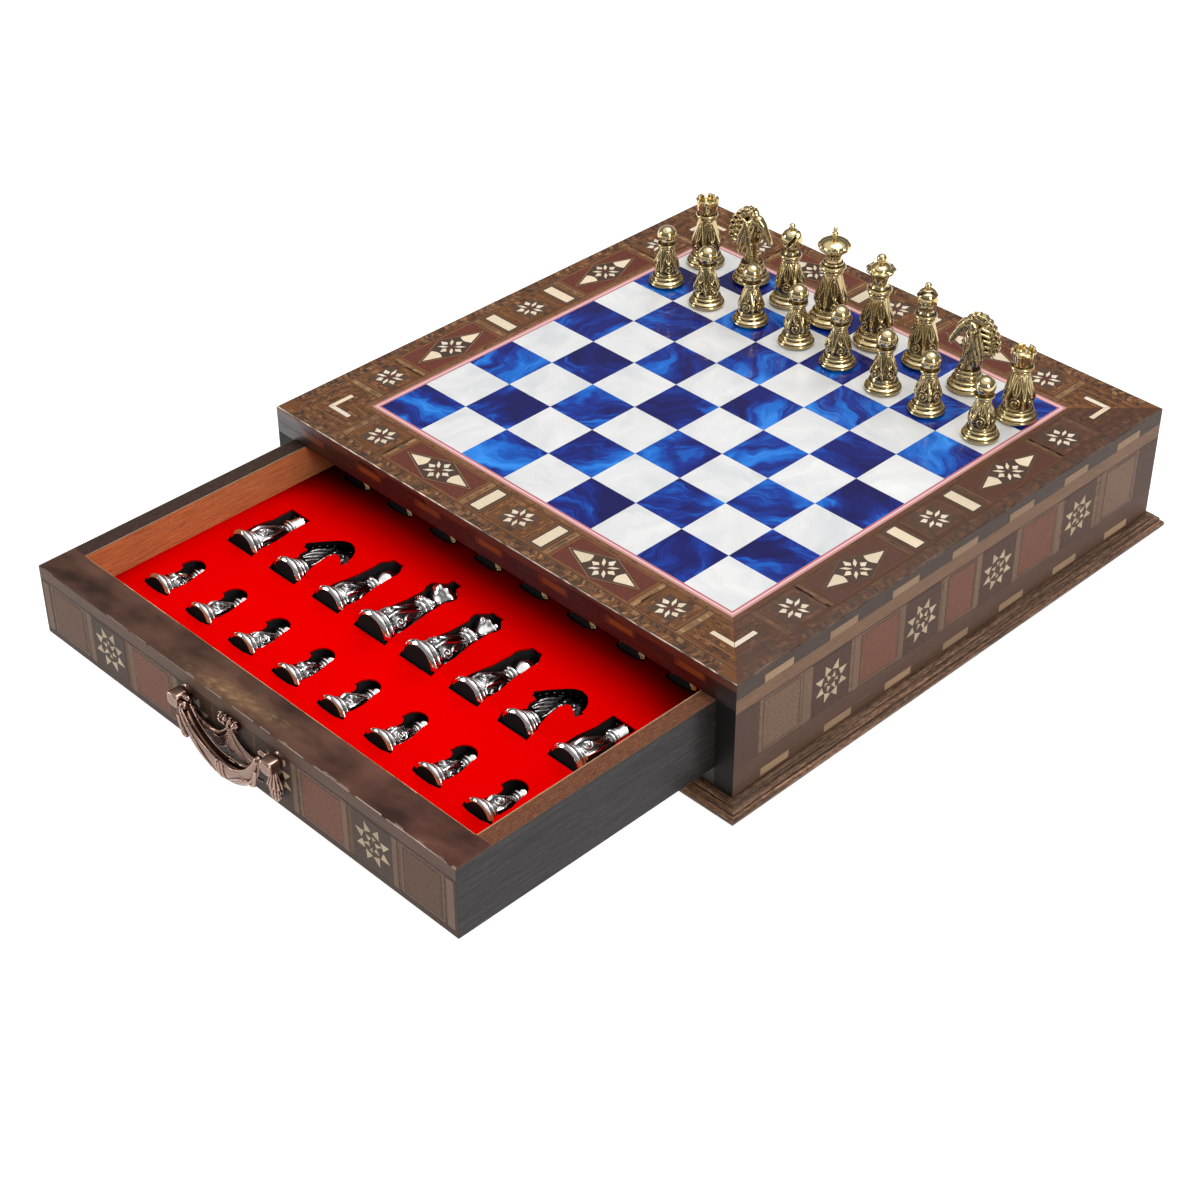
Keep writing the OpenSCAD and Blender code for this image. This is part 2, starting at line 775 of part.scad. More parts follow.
module rook() {
    h = rook_h;
    f = officer_foot;
    battlement = 0.1 * h;
    difference() {
        rotate_extrude() {
            foot(f);
            swell(f, 0.76 * f, 0.39 * h, 0.44 * f, 0.7 * h);
            collar(0.62 * f, 0.76 * h, 0.022 * h);
            polygon([[0, 0.7 * h], [0.5 * f, 0.7 * h], [0.52 * f, 0.79 * h], [0.59 * f, h], [0, h]]);
        }
        translate([0, 0, h - battlement]) {
            cylinder(r = 0.43 * f, h = battlement + 1);
            for (a = [0, 60, 120]) rotate([0, 0, a])
                translate([-f, -0.11 * f, 0]) cube([2 * f, 0.22 * f, battlement + 1]);
        }
    }
}

module bishop() {
    h = bishop_h;
    f = officer_foot;
    difference() {
        rotate_extrude() {
            foot(f);
            swell(f, 0.77 * f, 0.25 * h, 0.45 * f, 0.56 * h);
            collar(0.53 * f, 0.57 * h, 0.015 * h);
            collar(0.58 * f, 0.612 * h, 0.018 * h);
            square([0.37 * f, 0.75 * h]);
            ball(0.55 * f, 0.8 * h);
            polygon([[0, 0.85 * h], [0.45 * f, 0.87 * h], [0.14 * f, 0.925 * h], [0, 0.94 * h]]);
            ball(0.04 * h, 0.958 * h);
        }
        translate([0, 0, 0.85 * h]) rotate([0, 40, 0])
            translate([0, -f, 0]) cube([f, 2 * f, 0.18 * f]);
    }
}

module queen() {
    h = queen_h;
    f = royal_foot;
    rotate_extrude() {
        foot(f);
        swell(f, 0.72 * f, 0.26 * h, 0.42 * f, 0.6 * h);
        collar(0.54 * f, 0.62 * h, 0.02 * h);
        polygon([[0, 0.6 * h], [0.38 * f, 0.6 * h], [0.38 * f, 0.74 * h], [0.63 * f, 0.82 * h],
            [0.6 * f, 0.84 * h], [0, 0.84 * h]]);
        dome(0.47 * f, 0.83 * h, 0.9 * h);
        ball(0.053 * h, 0.947 * h);
    }
}

module king() {
    h = king_h;
    f = royal_foot;
    rotate_extrude() {
        foot(f);
        swell(f, 0.69 * f, 0.225 * h, 0.43 * f, 0.57 * h);
        collar(0.56 * f, 0.592 * h, 0.02 * h);
        collar(0.5 * f, 0.63 * h, 0.015 * h);
        polygon([[0, 0.6 * h], [0.36 * f, 0.6 * h], [0.36 * f, 0.7 * h], [0.68 * f, 0.79 * h],
            [0.64 * f, 0.81 * h], [0, 0.81 * h]]);
        dome(0.55 * f, 0.8 * h, 0.88 * h);
        collar(0.12 * f, 0.885 * h, 0.01 * h);
        square([0.012 * h, 0.97 * h]);
        ball(0.035 * h, 0.925 * h);
        ball(0.02 * h, 0.98 * h);
    }
}

// Horse head: its side outline crossed with its front outline, on a turned pedestal
module knight() {
    h = knight_h;
    f = officer_foot;
    neck_w = 0.12 * h;
    rotate_extrude() {
        foot(f);
        swell(f, 0.66 * f, 0.2 * h, 0.5 * f, 0.3 * h);
    }
    intersection() {
        translate([0, f, 0]) rotate([90, 0, 0]) linear_extrude(2 * f)
            polygon([[0.14 * h, 0.24 * h], [0.085 * h, 0.4 * h], [0.065 * h, 0.52 * h],
                [0.09 * h, 0.63 * h], [0.14 * h, 0.67 * h], [0.22 * h, 0.59 * h],
                [0.29 * h, 0.575 * h], [0.315 * h, 0.64 * h], [0.25 * h, 0.8 * h],
                [0.16 * h, 0.95 * h], [0.06 * h, h], [-0.06 * h, 0.98 * h],
                [-0.2 * h, 0.91 * h], [-0.3 * h, 0.79 * h], [-0.36 * h, 0.66 * h],
                [-0.37 * h, 0.57 * h], [-0.31 * h, 0.51 * h], [-0.2 * h, 0.52 * h],
                [-0.14 * h, 0.38 * h], [-0.14 * h, 0.24 * h]]);
        translate([-h, 0, 0]) rotate([90, 0, 90]) linear_extrude(2 * h)
            polygon([[neck_w, 0.24 * h], [0.9 * neck_w, 0.5 * h], [0.95 * neck_w, 0.8 * h],
                [0.4 * neck_w, h], [-0.4 * neck_w, h], [-0.95 * neck_w, 0.8 * h],
                [-0.9 * neck_w, 0.5 * h], [-neck_w, 0.24 * h]]);
    }
}

// Places of the gold men: file, rank, offsets from the square's middle in squares, turn
pawn_places = [[0, 6, -0.05, -0.1, 0], [1, 6, -0.02, -0.134, 0], [2, 6, -0.04, -0.05, 0],
    [3, 6, 0, -0.006, 0], [4, 6, -0.02, -0.04, 0], [5, 6, 0.04, -0.1, 0],
    [6, 6, 0, -0.12, 0], [7, 6, 0.12, -0.1, 0]];
rook_places = [[0, 7, -0.054, -0.054, 15], [7, 7, 0.18, -0.214, 40]];
knight_places = [[1, 7, -0.03, 0.06, 10], [6, 7, 0.01, -0.046, 205]];
bishop_places = [[2, 7, -0.03, -0.05, 45], [5, 7, -0.03, 0.02, -50]];
king_place = [3, 7, -0.071, -0.034, 0];
queen_place = [4, 7, -0.02, -0.031, 0];

module standing(place) {
    translate([(place[0] + 0.5 + place[2]) * square - board_half,
        (place[1] + 0.5 + place[3]) * square - board_half, board_z])
        rotate([0, 0, place[4]]) children();
}

module gold_pawns() {
    color("gold") for (place = pawn_places) standing(place) pawn();
}

module gold_rooks() {
    color("gold") for (place = rook_places) standing(place) rook();
}

module gold_knights() {
    color("gold") for (place = knight_places) standing(place) knight();
}

module gold_bishops() {
    color("gold") for (place = bishop_places) standing(place) bishop();
}

module gold_king() {
    color("gold") standing(king_place) king();
}

module gold_queen() {
    color("gold") standing(queen_place) queen();
}

// Lays a man in its recess, base to the drawer front: foot radius f at height f_z and
// head radius r at height r_z both rest at the seat gap above the recess floor
module lying(x, y, f, f_z, r, r_z, roll) {
    tilt = atan((f - r) / (r_z - f_z));
    translate([x, y + f * sin(tilt), recess_z + seat_gap + f_z * sin(tilt) + f * cos(tilt)])
        rotate([-90 - tilt, 0, 0]) rotate([0, 0, roll]) children();
}

module lying_pawns(set) {
    for (i = [0:columns - 1])
        lying(column_x(i) + pawn_shift, pawn_row_y(set), pawn_foot, 0.25 * pawn_foot,
            0.143 * pawn_h, 0.857 * pawn_h, 0) pawn();
}

module silver_pawns() {
    color("silver") lying_pawns(0);
}

module tray_gold_pawns() {
    color("gold") lying_pawns(1);
}

// Lays the officer of column i down
module lying_officer(i, f, r, r_z, roll) {
    lying(column_x(i) + officer_shift, officer_row_y(0), f, 0.25 * f, r, r_z, roll) children();
}

module silver_rooks() {
    color("silver") for (i = [0, 7])
        lying_officer(i, officer_foot, 0.59 * officer_foot, rook_h, 30) rook();
}

module silver_knights() {
    color("silver") for (i = [1, 6])
        lying_officer(i, officer_foot, 0.114 * knight_h, 0.8 * knight_h, 0) knight();
}

module silver_bishops() {
    color("silver") for (i = [2, 5])
        lying_officer(i, officer_foot, 0.55 * officer_foot, 0.8 * bishop_h, 90) bishop();
}

module silver_king() {
    color("silver") lying_officer(3, royal_foot, 0.68 * royal_foot, 0.79 * king_h, 0) king();
}

module silver_queen() {
    color("silver") lying_officer(4, royal_foot, 0.63 * royal_foot, 0.82 * queen_h, 0) queen();
}

// ---------------------------------------------------------------- outputs

module moulding_front() { moulding(0); }
module moulding_right() { moulding(1); }
module moulding_back() { moulding(2); }
module moulding_left() { moulding(3); }
module frame_front() { frame_side(0); }
module frame_right() { frame_side(1); }
module frame_back() { frame_side(2); }
module frame_left() { frame_side(3); }

side_panel_left();
side_panel_right();
back_panel();
front_rail_upper();
front_rail_lower();
bottom_panel();
drawer_runners();
board_core();
frame_front();
frame_back();
frame_left();
frame_right();
border_strips();
light_squares();
dark_squares();
frame_inlays();
side_inlays();
moulding_front();
moulding_back();
moulding_left();
moulding_right();
drawer_front();
drawer_side_left();
drawer_side_right();
drawer_back();
drawer_bottom();
tray_base();
tray_foam();
tray_lining();
tray_gold_pawns();
drawer_inlays();
handle_posts();
handle_swag();
handle_screws();
handle_bail();
gold_pawns();
gold_rooks();
gold_knights();
gold_bishops();
gold_queen();
gold_king();
silver_pawns();
silver_rooks();
silver_knights();
silver_bishops();
silver_queen();
silver_king();
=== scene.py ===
from math import atan, cos, dist, exp, pi, radians, sin, sqrt, tau
from random import choice, random, seed, uniform

import bpy
import numpy as np
from mathutils import Matrix, Vector, noise


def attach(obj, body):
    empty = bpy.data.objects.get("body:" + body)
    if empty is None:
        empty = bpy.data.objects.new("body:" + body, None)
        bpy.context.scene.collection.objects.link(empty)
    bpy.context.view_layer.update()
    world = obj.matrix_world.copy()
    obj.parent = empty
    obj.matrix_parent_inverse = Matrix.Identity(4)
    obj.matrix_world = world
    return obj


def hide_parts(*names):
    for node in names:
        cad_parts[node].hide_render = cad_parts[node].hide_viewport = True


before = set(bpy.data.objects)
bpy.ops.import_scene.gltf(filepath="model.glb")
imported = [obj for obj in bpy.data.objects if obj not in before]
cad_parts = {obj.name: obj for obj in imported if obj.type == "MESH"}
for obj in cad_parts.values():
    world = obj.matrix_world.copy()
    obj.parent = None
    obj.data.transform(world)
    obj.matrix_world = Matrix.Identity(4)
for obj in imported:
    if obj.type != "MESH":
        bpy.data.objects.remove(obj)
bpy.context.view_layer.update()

# sizes shared with the CAD part, in millimetres
MM = 0.001
SQUARE = 35.0
BOARD_HALF = 4 * SQUARE
FRAME_IN = 144.0
CASE_HALF = 183.5
BOARD_Z = 85.0
FRONT_Y = -361.5
DRAWER_BACK = FRONT_Y + 350.0
DRAWER_HALF = 169.9
DRAWER_WALL = 11.1
RIM_Z = 67.7
TRAY_HALF = 158.8
TRAY_FRONT = -338.2
TRAY_Z = 45.7
RECESS_Z = 29.7
POST_Z = 55.2
POST_AT = 38.0
HANDLE_OFF = 7.8
PAWN_ROW = TRAY_FRONT + 24.2
OFFICER_ROW = PAWN_ROW + 58.7
GOLD_ROW = PAWN_ROW + 145
FIRST_MAN = TRAY_HALF - 27
PITCH = 2 * FIRST_MAN / 7
PAWN_SHIFT, OFFICER_SHIFT = -3, -0.5
PAWN_FOOT, OFFICER_FOOT, ROYAL_FOOT = 11.2, 12.2, 14.0
QUARTER = pi / 2


def add_object(name, data):
    obj = bpy.data.objects.new(name, data)
    bpy.context.scene.collection.objects.link(obj)
    return obj


# ------------------------------------------------------------------ shaders

class Nodes:
    """A node tree that is filled node by node."""

    def __init__(self, tree):
        self.tree = tree

    def put(self, socket, value):
        if isinstance(value, bpy.types.NodeSocket):
            self.tree.links.new(value, socket)
        else:
            socket.default_value = value

    def node(self, kind, ins=None, **props):
        """Adds a node and gives its outputs."""
        n = self.tree.nodes.new("ShaderNode" + kind)
        for k, v in props.items():
            setattr(n, k, v)
        for k, v in (ins or {}).items():
            self.put(n.inputs[k], v)
        return n.outputs

    def ramp(self, fac, stops):
        """Colour ramp; a stop's colour is a grey level or three values."""
        n = self.tree.nodes.new("ShaderNodeValToRGB")
        self.put(n.inputs[0], fac)
        elements = n.color_ramp.elements
        while len(elements) < len(stops):
            elements.new(0.5)
        for e, (p, c) in zip(elements, stops):
            e.position = p
            e.color = (c, c, c, 1) if isinstance(c, (int, float)) else (*c, 1)
        return n.outputs["Color"]


class Shader(Nodes):
    """A Principled material."""

    SOCKETS = {"color": "Base Color", "rough": "Roughness", "metal": "Metallic", "spec": "Specular IOR Level",
               "coat": "Coat Weight", "coat_rough": "Coat Roughness", "normal": "Normal",
               "coat_normal": "Coat Normal", "glow": "Emission Color",
               "glow_strength": "Emission Strength"}

    def __init__(self, name):
        self.mat = bpy.data.materials.new(name)
        self.mat.use_nodes = True
        super().__init__(self.mat.node_tree)
        self.bsdf = self.tree.nodes["Principled BSDF"]

    def set(self, **ins):
        for k, v in ins.items():
            self.put(self.bsdf.inputs[self.SOCKETS[k]], v)

    def object(self):
        return self.node("TexCoord")["Object"]

    def uv(self):
        return self.node("UVMap", uv_map="grain")["UV"]

    def tint(self):
        return self.node("Attribute", attribute_name="tint")["Color"]

    def open_sky(self, reach, samples):
        return self.node("AmbientOcclusion", {"Distance": reach}, samples=samples)["AO"]

    def mapping(self, vec, scale=(1, 1, 1), rot=(0, 0, 0)):
        return self.node("Mapping", {"Vector": vec, "Scale": scale, "Rotation": rot})[0]

    def noise(self, vec, scale, detail=4.0, rough=0.55, distort=0.0):
        return self.node("TexNoise", {"Vector": vec, "Scale": scale, "Detail": detail, "Roughness": rough,
                                      "Distortion": distort})["Fac"]

    def grain(self, vec, along, across, *look):
        """Noise drawn out along the first axis of vec."""
        return self.noise(self.mapping(vec, (along, across, across)), 1.0, *look)

    def mix(self, fac, a, b, blend="MIX"):
        colors = [v if isinstance(v, bpy.types.NodeSocket) else (*v, 1) for v in (a, b)]
        return self.node("Mix", {0: fac, 6: colors[0], 7: colors[1]}, data_type="RGBA", blend_type=blend)[2]

    def times(self, a, b, amount=1.0):
        return self.mix(amount, a, b, "MULTIPLY")

    def math(self, op, a, b):
        return self.node("Math", {0: a, 1: b}, operation=op)[0]

    def mul(self, a, b):
        return self.math("MULTIPLY", a, b)

    def add(self, a, b):
        return self.math("ADD", a, b)

    def vmath(self, op, a, b=(0, 0, 0)):
        return self.node("VectorMath", {0: a, 1: b}, operation=op)[0]

    def bump(self, height, distance, strength):
        return self.node("Bump", {"Height": height, "Distance": distance, "Strength": strength})[0]


def wood_look(s, vec, tint, rough=0.42, coat=0.1, along=28.0, across=420.0, contrast=0.5, spec=0.22,
              coat_rough=0.2):
    """Grain along the first axis of vec, over the colour tint."""
    bands = s.grain(vec, along, across, 4.0, 0.6, 0.5)
    pores = s.grain(vec, along * 4, across * 1.9, 3.0, 0.6)
    broad = s.grain(vec, along * 0.8, across * 0.16, 3.0)
    grit = s.grain(vec, 230.0, 720.0, 2.0, 0.7)
    color = s.times(tint, s.ramp(bands, [(0.3, 1 - contrast), (0.5, 1.0), (0.72, 1 + contrast)]))
    color = s.times(color, s.ramp(pores, [(0.36, 0.42), (0.5, 0.95), (0.66, 1.25)]), 0.8)
    color = s.times(color, s.ramp(broad, [(0.3, 1 - 0.6 * contrast), (0.7, 1 + 0.5 * contrast)]))
    color = s.times(color, s.ramp(grit, [(0.36, 0.55), (0.5, 0.98), (0.64, 1.5)]), min(1.0, 1.8 * contrast))
    height = s.add(s.mul(bands, 0.6), s.mul(pores, 0.6))
    s.set(color=color, rough=s.ramp(bands, [(0.2, rough + 0.1), (0.8, rough - 0.06)]), coat=coat,
          coat_rough=coat_rough, spec=spec, normal=s.bump(height, 0.00022, 0.75))
    if coat > 0.3:
        s.set(coat_normal=s.bump(s.noise(vec, 160.0, 2.0), 0.0006, 0.35))
    return s.mat


def wood_skin(name, rough=0.42, coat=0.1, contrast=0.55, along=28.0, across=420.0, spec=0.22, coat_rough=0.2):
    """Veneer: grain from the face's own map, colour from the face's tint."""
    s = Shader(name)
    return wood_look(s, s.uv(), s.tint(), rough, coat, along, across, contrast, spec, coat_rough)


def wood_solid(name, color, axis, rough=0.45, coat=0.15, contrast=0.5, along=28.0, across=420.0):
    """Wood for CAD boards, grain along axis x, y or z."""
    s = Shader(name)
    turn = {"x": (0, 0, 0), "y": (0, 0, -QUARTER), "z": (0, QUARTER, 0)}[axis]
    return wood_look(s, s.mapping(s.object(), rot=turn), color, rough, coat, along, across, contrast)


def rim_look():
    """Drawer's top edges: dark wood with fuzzy golden worn streaks."""
    s = Shader("veneer_rim")
    tint, uv = s.tint(), s.uv()
    patch = s.grain(uv, 9.0, 40.0, 3.0, 0.6)
    streak = s.grain(uv, 70.0, 620.0, 4.0, 0.75)
    cloud = s.grain(uv, 38.0, 95.0, 4.0, 0.7, 0.6)
    gold = s.mul(s.ramp(patch, [(0.47, 0.0), (0.66, 1.0)]), s.ramp(streak, [(0.42, 0.0), (0.58, 1.0)]))
    stained = s.times(tint, s.ramp(cloud, [(0.36, 0.5), (0.50, 0.97), (0.64, 1.5)]))
    mixed = s.mix(s.mul(gold, 0.45), stained, s.times(tint, (2.2, 2.2, 2.0)))
    return wood_look(s, uv, mixed, 0.55, 0.0, 40.0, 330.0, 0.6, spec=0.12)


def line_look():
    """Thin coloured lines of the border."""
    s = Shader("border_line")
    s.set(color=s.tint(), rough=0.3, coat=0.3, coat_rough=0.05)
    return s.mat


def tile_look(name, stops, scale, rough, streak, spread, spec=0.5, coat=0.5):
    """Mother-of-pearl like laminate: each tile has its own turned, smoky strokes."""
    s = Shader(name)
    pos = s.object()
    in_squares = s.node("VectorMath", {0: s.vmath("ADD", pos, (BOARD_HALF * MM, BOARD_HALF * MM, 0.0)),
                                       "Scale": 1 / (SQUARE * MM)}, operation="SCALE")[0]
    rnd = s.node("TexWhiteNoise", {"Vector": s.vmath("FLOOR", in_squares)}, noise_dimensions="3D")
    local = s.node("VectorRotate", {"Vector": pos, "Angle": s.mul(rnd["Value"], tau)},
                   rotation_type="Z_AXIS")[0]
    local = s.vmath("ADD", local, s.vmath("MULTIPLY", rnd["Color"], (3.0, 3.0, 3.0)))
    warp = s.node("TexNoise", {"Vector": local, "Scale": 45.0, "Detail": 2.0})["Color"]
    bent = s.vmath("ADD", local, s.vmath("MULTIPLY", warp, (0.03, 0.03, 0.0)))
    strokes = s.noise(s.mapping(bent, (1.0, 2.6, 1.0)), scale, 3.0, 0.55, 1.4)
    folds = s.node("TexVoronoi", {"Vector": s.mapping(bent, (1.0, 2.4, 1.0)), "Scale": scale * 1.2},
                   feature="SMOOTH_F1")["Distance"]
    fibres = s.noise(s.mapping(bent, (1.0, 12.0, 1.0)), scale * 3.0, 2.0, 0.6)
    mixed = s.add(s.mul(strokes, 0.72), s.mul(folds, 0.42))
    mixed = s.add(mixed, s.mul(s.math("SUBTRACT", fibres, 0.5), streak))
    mixed = s.add(mixed, s.mul(s.math("SUBTRACT", rnd["Value"], 0.5), spread))
    s.set(color=s.ramp(mixed, stops), rough=rough, spec=spec, coat=coat, coat_rough=0.03,
          coat_normal=s.bump(s.noise(pos, 55.0, 1.0), 0.0004, 0.2))
    return s.mat


def metal_look(name, color, dark, rough, wear=(0.44, 0.52), patina=False, reach=0.0):
    """Cast and plated metal, dark in its hollows; wear gives the range of Pointiness that is bright."""
    s = Shader(name)
    grains = s.noise(s.object(), 900.0, 4.0, 0.6)
    bright = s.ramp(s.node("NewGeometry")["Pointiness"], [(wear[0], 0.0), (wear[1], 1.0)])
    if reach:
        bright = s.mul(bright, s.ramp(s.open_sky(reach, 6), [(0.25, 0.0), (0.85, 1.0)]))
    if patina:
        mark = s.node("Attribute", attribute_name="patina")["Fac"]
        bright = s.mul(mark, s.add(0.45, s.mul(bright, 0.55)))
    r = s.add(s.mul(grains, 0.08), s.math("SUBTRACT", rough + 0.16, s.mul(bright, 0.2)))
    s.set(color=s.mix(bright, dark, color), metal=1.0, rough=s.math("MAXIMUM", r, 0.04),
          normal=s.bump(grains, 0.00005, 0.3))
    return s.mat


def plain(name, color, spec, scale=600.0, depth=0.0001, strength=0.4):
    """Felt and foam."""
    s = Shader(name)
    n = s.noise(s.object(), scale, 4.0, 0.6)
    s.set(color=s.mix(n, tuple(c * 0.86 for c in color), color), rough=0.95, spec=spec,
          normal=s.bump(n, depth, strength))
    return s.mat


def lining_look(color):
    """Flat red lining, deeper where something close above it keeps the light off."""
    s = Shader("red_lining")
    n = s.noise(s.object(), 2500.0, 4.0, 0.6)
    shade = s.ramp(s.open_sky(0.06, 8), [(0.17, 0.02), (0.38, 0.45), (0.56, 1.0)])
    base = s.mix(n, tuple(c * 0.88 for c in color), color)
    s.set(color=s.times(base, shade), rough=1.0, spec=0.0, normal=s.bump(n, 0.00005, 0.3))
    return s.mat


VENEER = wood_skin("veneer", 0.45, 0.08, 0.7)
# the frame's right side: a glossier coat, and calmer grain painted to look as that side does under its sheen
VENEER_RIGHT_SHEEN = wood_skin("veneer_right_sheen", 0.4, 0.45, 0.4, coat_rough=0.04)
VENEER_RIM = rim_look()
VENEER_GLOSS = wood_skin("veneer_gloss", 0.35, 0.62, 0.4, 40.0, 160.0, coat_rough=0.04)
VENEER_SATIN = wood_skin("veneer_satin", 0.5, 0.04, 0.66, 16.0, 300.0, 0.2)
PALE = wood_skin("pale_inlay", 0.4, 0.1, 0.14, 60.0, 300.0)
LINE = line_look()

PEARL_WHITE = tile_look("pearl_white", [(0.30, (0.56, 0.57, 0.58)), (0.48, (0.63, 0.635, 0.635)),
                                        (0.62, (0.68, 0.68, 0.675)), (0.8, (0.74, 0.74, 0.73))],
                        22.0, 0.3, 0.16, 0.06)
PEARL_BLUE = tile_look("pearl_blue", [(0.39, (0.004, 0.004, 0.075)), (0.50, (0.004, 0.009, 0.130)),
                                      (0.57, (0.003, 0.028, 0.25)), (0.645, (0.002, 0.105, 0.48)),
                                      (0.79, (0.03, 0.25, 0.74))], 13.0, 0.25, 0.2, 0.12, 0.3, 0.3)

GOLD_TONES = (0.75, 0.59, 0.305), (0.050, 0.025, 0.006)
GOLD = metal_look("gold_plate", *GOLD_TONES, 0.09, (0.43, 0.525), True)
GOLD_CAST = metal_look("gold_cast", *GOLD_TONES, 0.10, (0.44, 0.54))
SILVER = metal_look("silver_plate", (0.86, 0.85, 0.84), (0.10, 0.095, 0.095), 0.07, (0.40, 0.50), True)
# silver knight heads, which lie in the tray's black recesses: near-black but for sharp ridges, painted shade
# and dark reflections of the recess
SHADED_SILVER_CAST = metal_look("silver_cast_painted_shade", (0.84, 0.83, 0.82), (0.035, 0.028, 0.028), 0.1, (0.49, 0.62))
COPPER = metal_look("antique_copper", (0.66, 0.43, 0.345), (0.045, 0.019, 0.013), 0.13, (0.475, 0.55),
                    reach=0.006)
STEEL = metal_look("zinc_steel", (0.62, 0.62, 0.60), (0.35, 0.35, 0.35), 0.3)
FELT = plain("black_felt", (0.012, 0.011, 0.011), 0.1)
FOAM = plain("black_foam", (0.016, 0.014, 0.014), 0.15, 1400.0, 0.0004, 0.8)
LINING = lining_look((0.73, 0.0, 0.0))

WALNUT = (0.085, 0.048, 0.030)
MOULD_TONE, MOULD_GRAIN = (0.154, 0.082, 0.048), (0.45, 0.1, 0.75, 7.0, 760.0)
BLACK_STAIN = (0.013, 0.0100, 0.0095)
CASE_SOLID = wood_solid("case_board", WALNUT, "y")
FRAME_SOLID = wood_solid("frame_board", WALNUT, "x")
RAIL_SOLID = wood_solid("rail_board", (0.06, 0.012, 0.006), "x", 0.25, 1.0)
PLY = wood_solid("plywood", (0.42, 0.27, 0.15), "x", 0.6, 0.0)
PLY_BASE = wood_solid("bottom_plywood", (0.34, 0.2, 0.11), "y", 0.6, 0.0)
MOULD_X = wood_solid("moulding_x", MOULD_TONE, "x", *MOULD_GRAIN)
MOULD_Y = wood_solid("moulding_y", MOULD_TONE, "y", *MOULD_GRAIN)
DRAWER_BLACK = wood_solid("drawer_black", BLACK_STAIN, "y", 0.5, 0.2, 0.4)
DRAWER_BLACK_X = wood_solid("drawer_black_x", BLACK_STAIN, "x", 0.5, 0.2, 0.4)

for mat, names in (
        (CASE_SOLID, "side_panel_left side_panel_right frame_left frame_right"),
        (FRAME_SOLID, "back_panel frame_front frame_back"),
        (RAIL_SOLID, "front_rail_upper front_rail_lower"),
        (PLY_BASE, "bottom_panel drawer_runners"),
        (PLY, "board_core drawer_bottom"),
        (LINE, "border_strips"),
        (PEARL_WHITE, "light_squares"),
        (PEARL_BLUE, "dark_squares"),
        (MOULD_X, "moulding_front moulding_back"),
        (MOULD_Y, "moulding_left moulding_right"),
        (DRAWER_BLACK, "drawer_front drawer_side_left drawer_side_right"),
        (DRAWER_BLACK_X, "drawer_back"),
        (FOAM, "tray_base tray_foam"),
        (LINING, "tray_lining"),
        (STEEL, "handle_screws"),
        (COPPER, "handle_posts handle_swag handle_bail")):
    for name in names.split():
        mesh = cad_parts[name].data
        mesh.materials.clear()
        mesh.materials.append(mat)


# ------------------------------------------------------------------ veneer skins

def skip_draws(count):
    """Passes over draws that nothing uses, so that those after them stay what they are."""
    for _ in range(count):
        random()


def skip_choice():
    """Passes over the draw of one of two, for the same reason."""
    choice((0, 1))


class Skin:
    """Thin veneers laid just over a flat face, one mesh per face. Every piece has the whole unit
    square of the grain's map, whatever its size, so the grain is finer on a smaller piece."""

    LIFT, LAYER = 0.02, 0.025

    def __init__(self, name, body, place, mats):
        """place(u, v, h) gives the point, in millimetres, at h above the face."""
        self.name, self.body, self.place, self.mats = name, body, place, mats
        self.verts, self.faces, self.tints, self.slots = [], [], [], []
        self.tone = lambda c: c

    def face(self, pts, level, tints, mat):
        start = len(self.verts)
        for u, v in pts:
            at = self.place(u, v, self.LIFT + self.LAYER * level)
            self.verts.append(tuple(c * MM for c in at))
        self.faces.append(list(range(start, start + len(pts))))
        self.tints.extend((*t, 1) for t in tints)
        self.slots.append(mat)

    def poly(self, pts, level, tint, mat=0, vary=0.08):
        shade = 1 + uniform(-vary, vary)
        tint = tuple(c * shade for c in self.tone(tint))
        skip_draws(2)
        if sum(a[0] * b[1] - b[0] * a[1] for a, b in zip(pts, pts[1:] + pts[:1])) < 0:
            pts = pts[::-1]
        self.face(pts, level, [tint] * len(pts), mat)

    def rect(self, u0, u1, v0, v1, level, tint, mat=0, vary=0.08):
        self.poly([(u0, v0), (u1, v0), (u1, v1), (u0, v1)], level, tint, mat, vary)

    def bands(self, half, rows):
        """Strips over the whole width: rows of v0, v1, level, tint."""
        for row in rows:
            self.rect(-half, half, *row)

    def cloth(self, u0, u1, v0, v1, nu, nv, tint_at):
        """Rectangle whose tint flows: tint_at(u, v) at the corners of nu x nv cells."""
        for i in range(nu):
            for j in range(nv):
                a, b = u0 + (u1 - u0) * i / nu, u0 + (u1 - u0) * (i + 1) / nu
                c, d = v0 + (v1 - v0) * j / nv, v0 + (v1 - v0) * (j + 1) / nv
                pts = [(a, c), (b, c), (b, d), (a, d)]
                self.face(pts, 0, [tint_at(*p) for p in pts], 0)

    def build(self, *stands_for):
        mesh = bpy.data.meshes.new(self.name)
        mesh.from_pydata(self.verts, [], self.faces)
        mesh.uv_layers.new(name="grain")
        tints = mesh.color_attributes.new("tint", "FLOAT_COLOR", "CORNER")
        tints.data.foreach_set("color", [c for t in self.tints for c in t])
        for m in self.mats:
            mesh.materials.append(m)
        mesh.polygons.foreach_set("material_index", self.slots)
        obj = add_object(self.name, mesh)
        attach(obj, self.body)
        if stands_for:
            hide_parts(*stands_for)


def turned(k, x, y, z):
    """Point after k quarter turns about the middle of the board."""
    c, s = [(1, 0), (0, 1), (-1, 0), (0, -1)][k]
    return (x * c - y * s, x * s + y * c, z)


def span(side, a, b):
    """Ends, in rising order, of a stretch that is mirrored when side is -1."""
    return sorted((side * a, side * b))


def octagon(u, v, r):
    return [(u + r * cos(radians(45 * i)), v + r * sin(radians(45 * i))) for i in range(8)]


def diamond(u, v, a, b):
    return [(u - a, v), (u, v - b), (u + a, v), (u, v + b)]


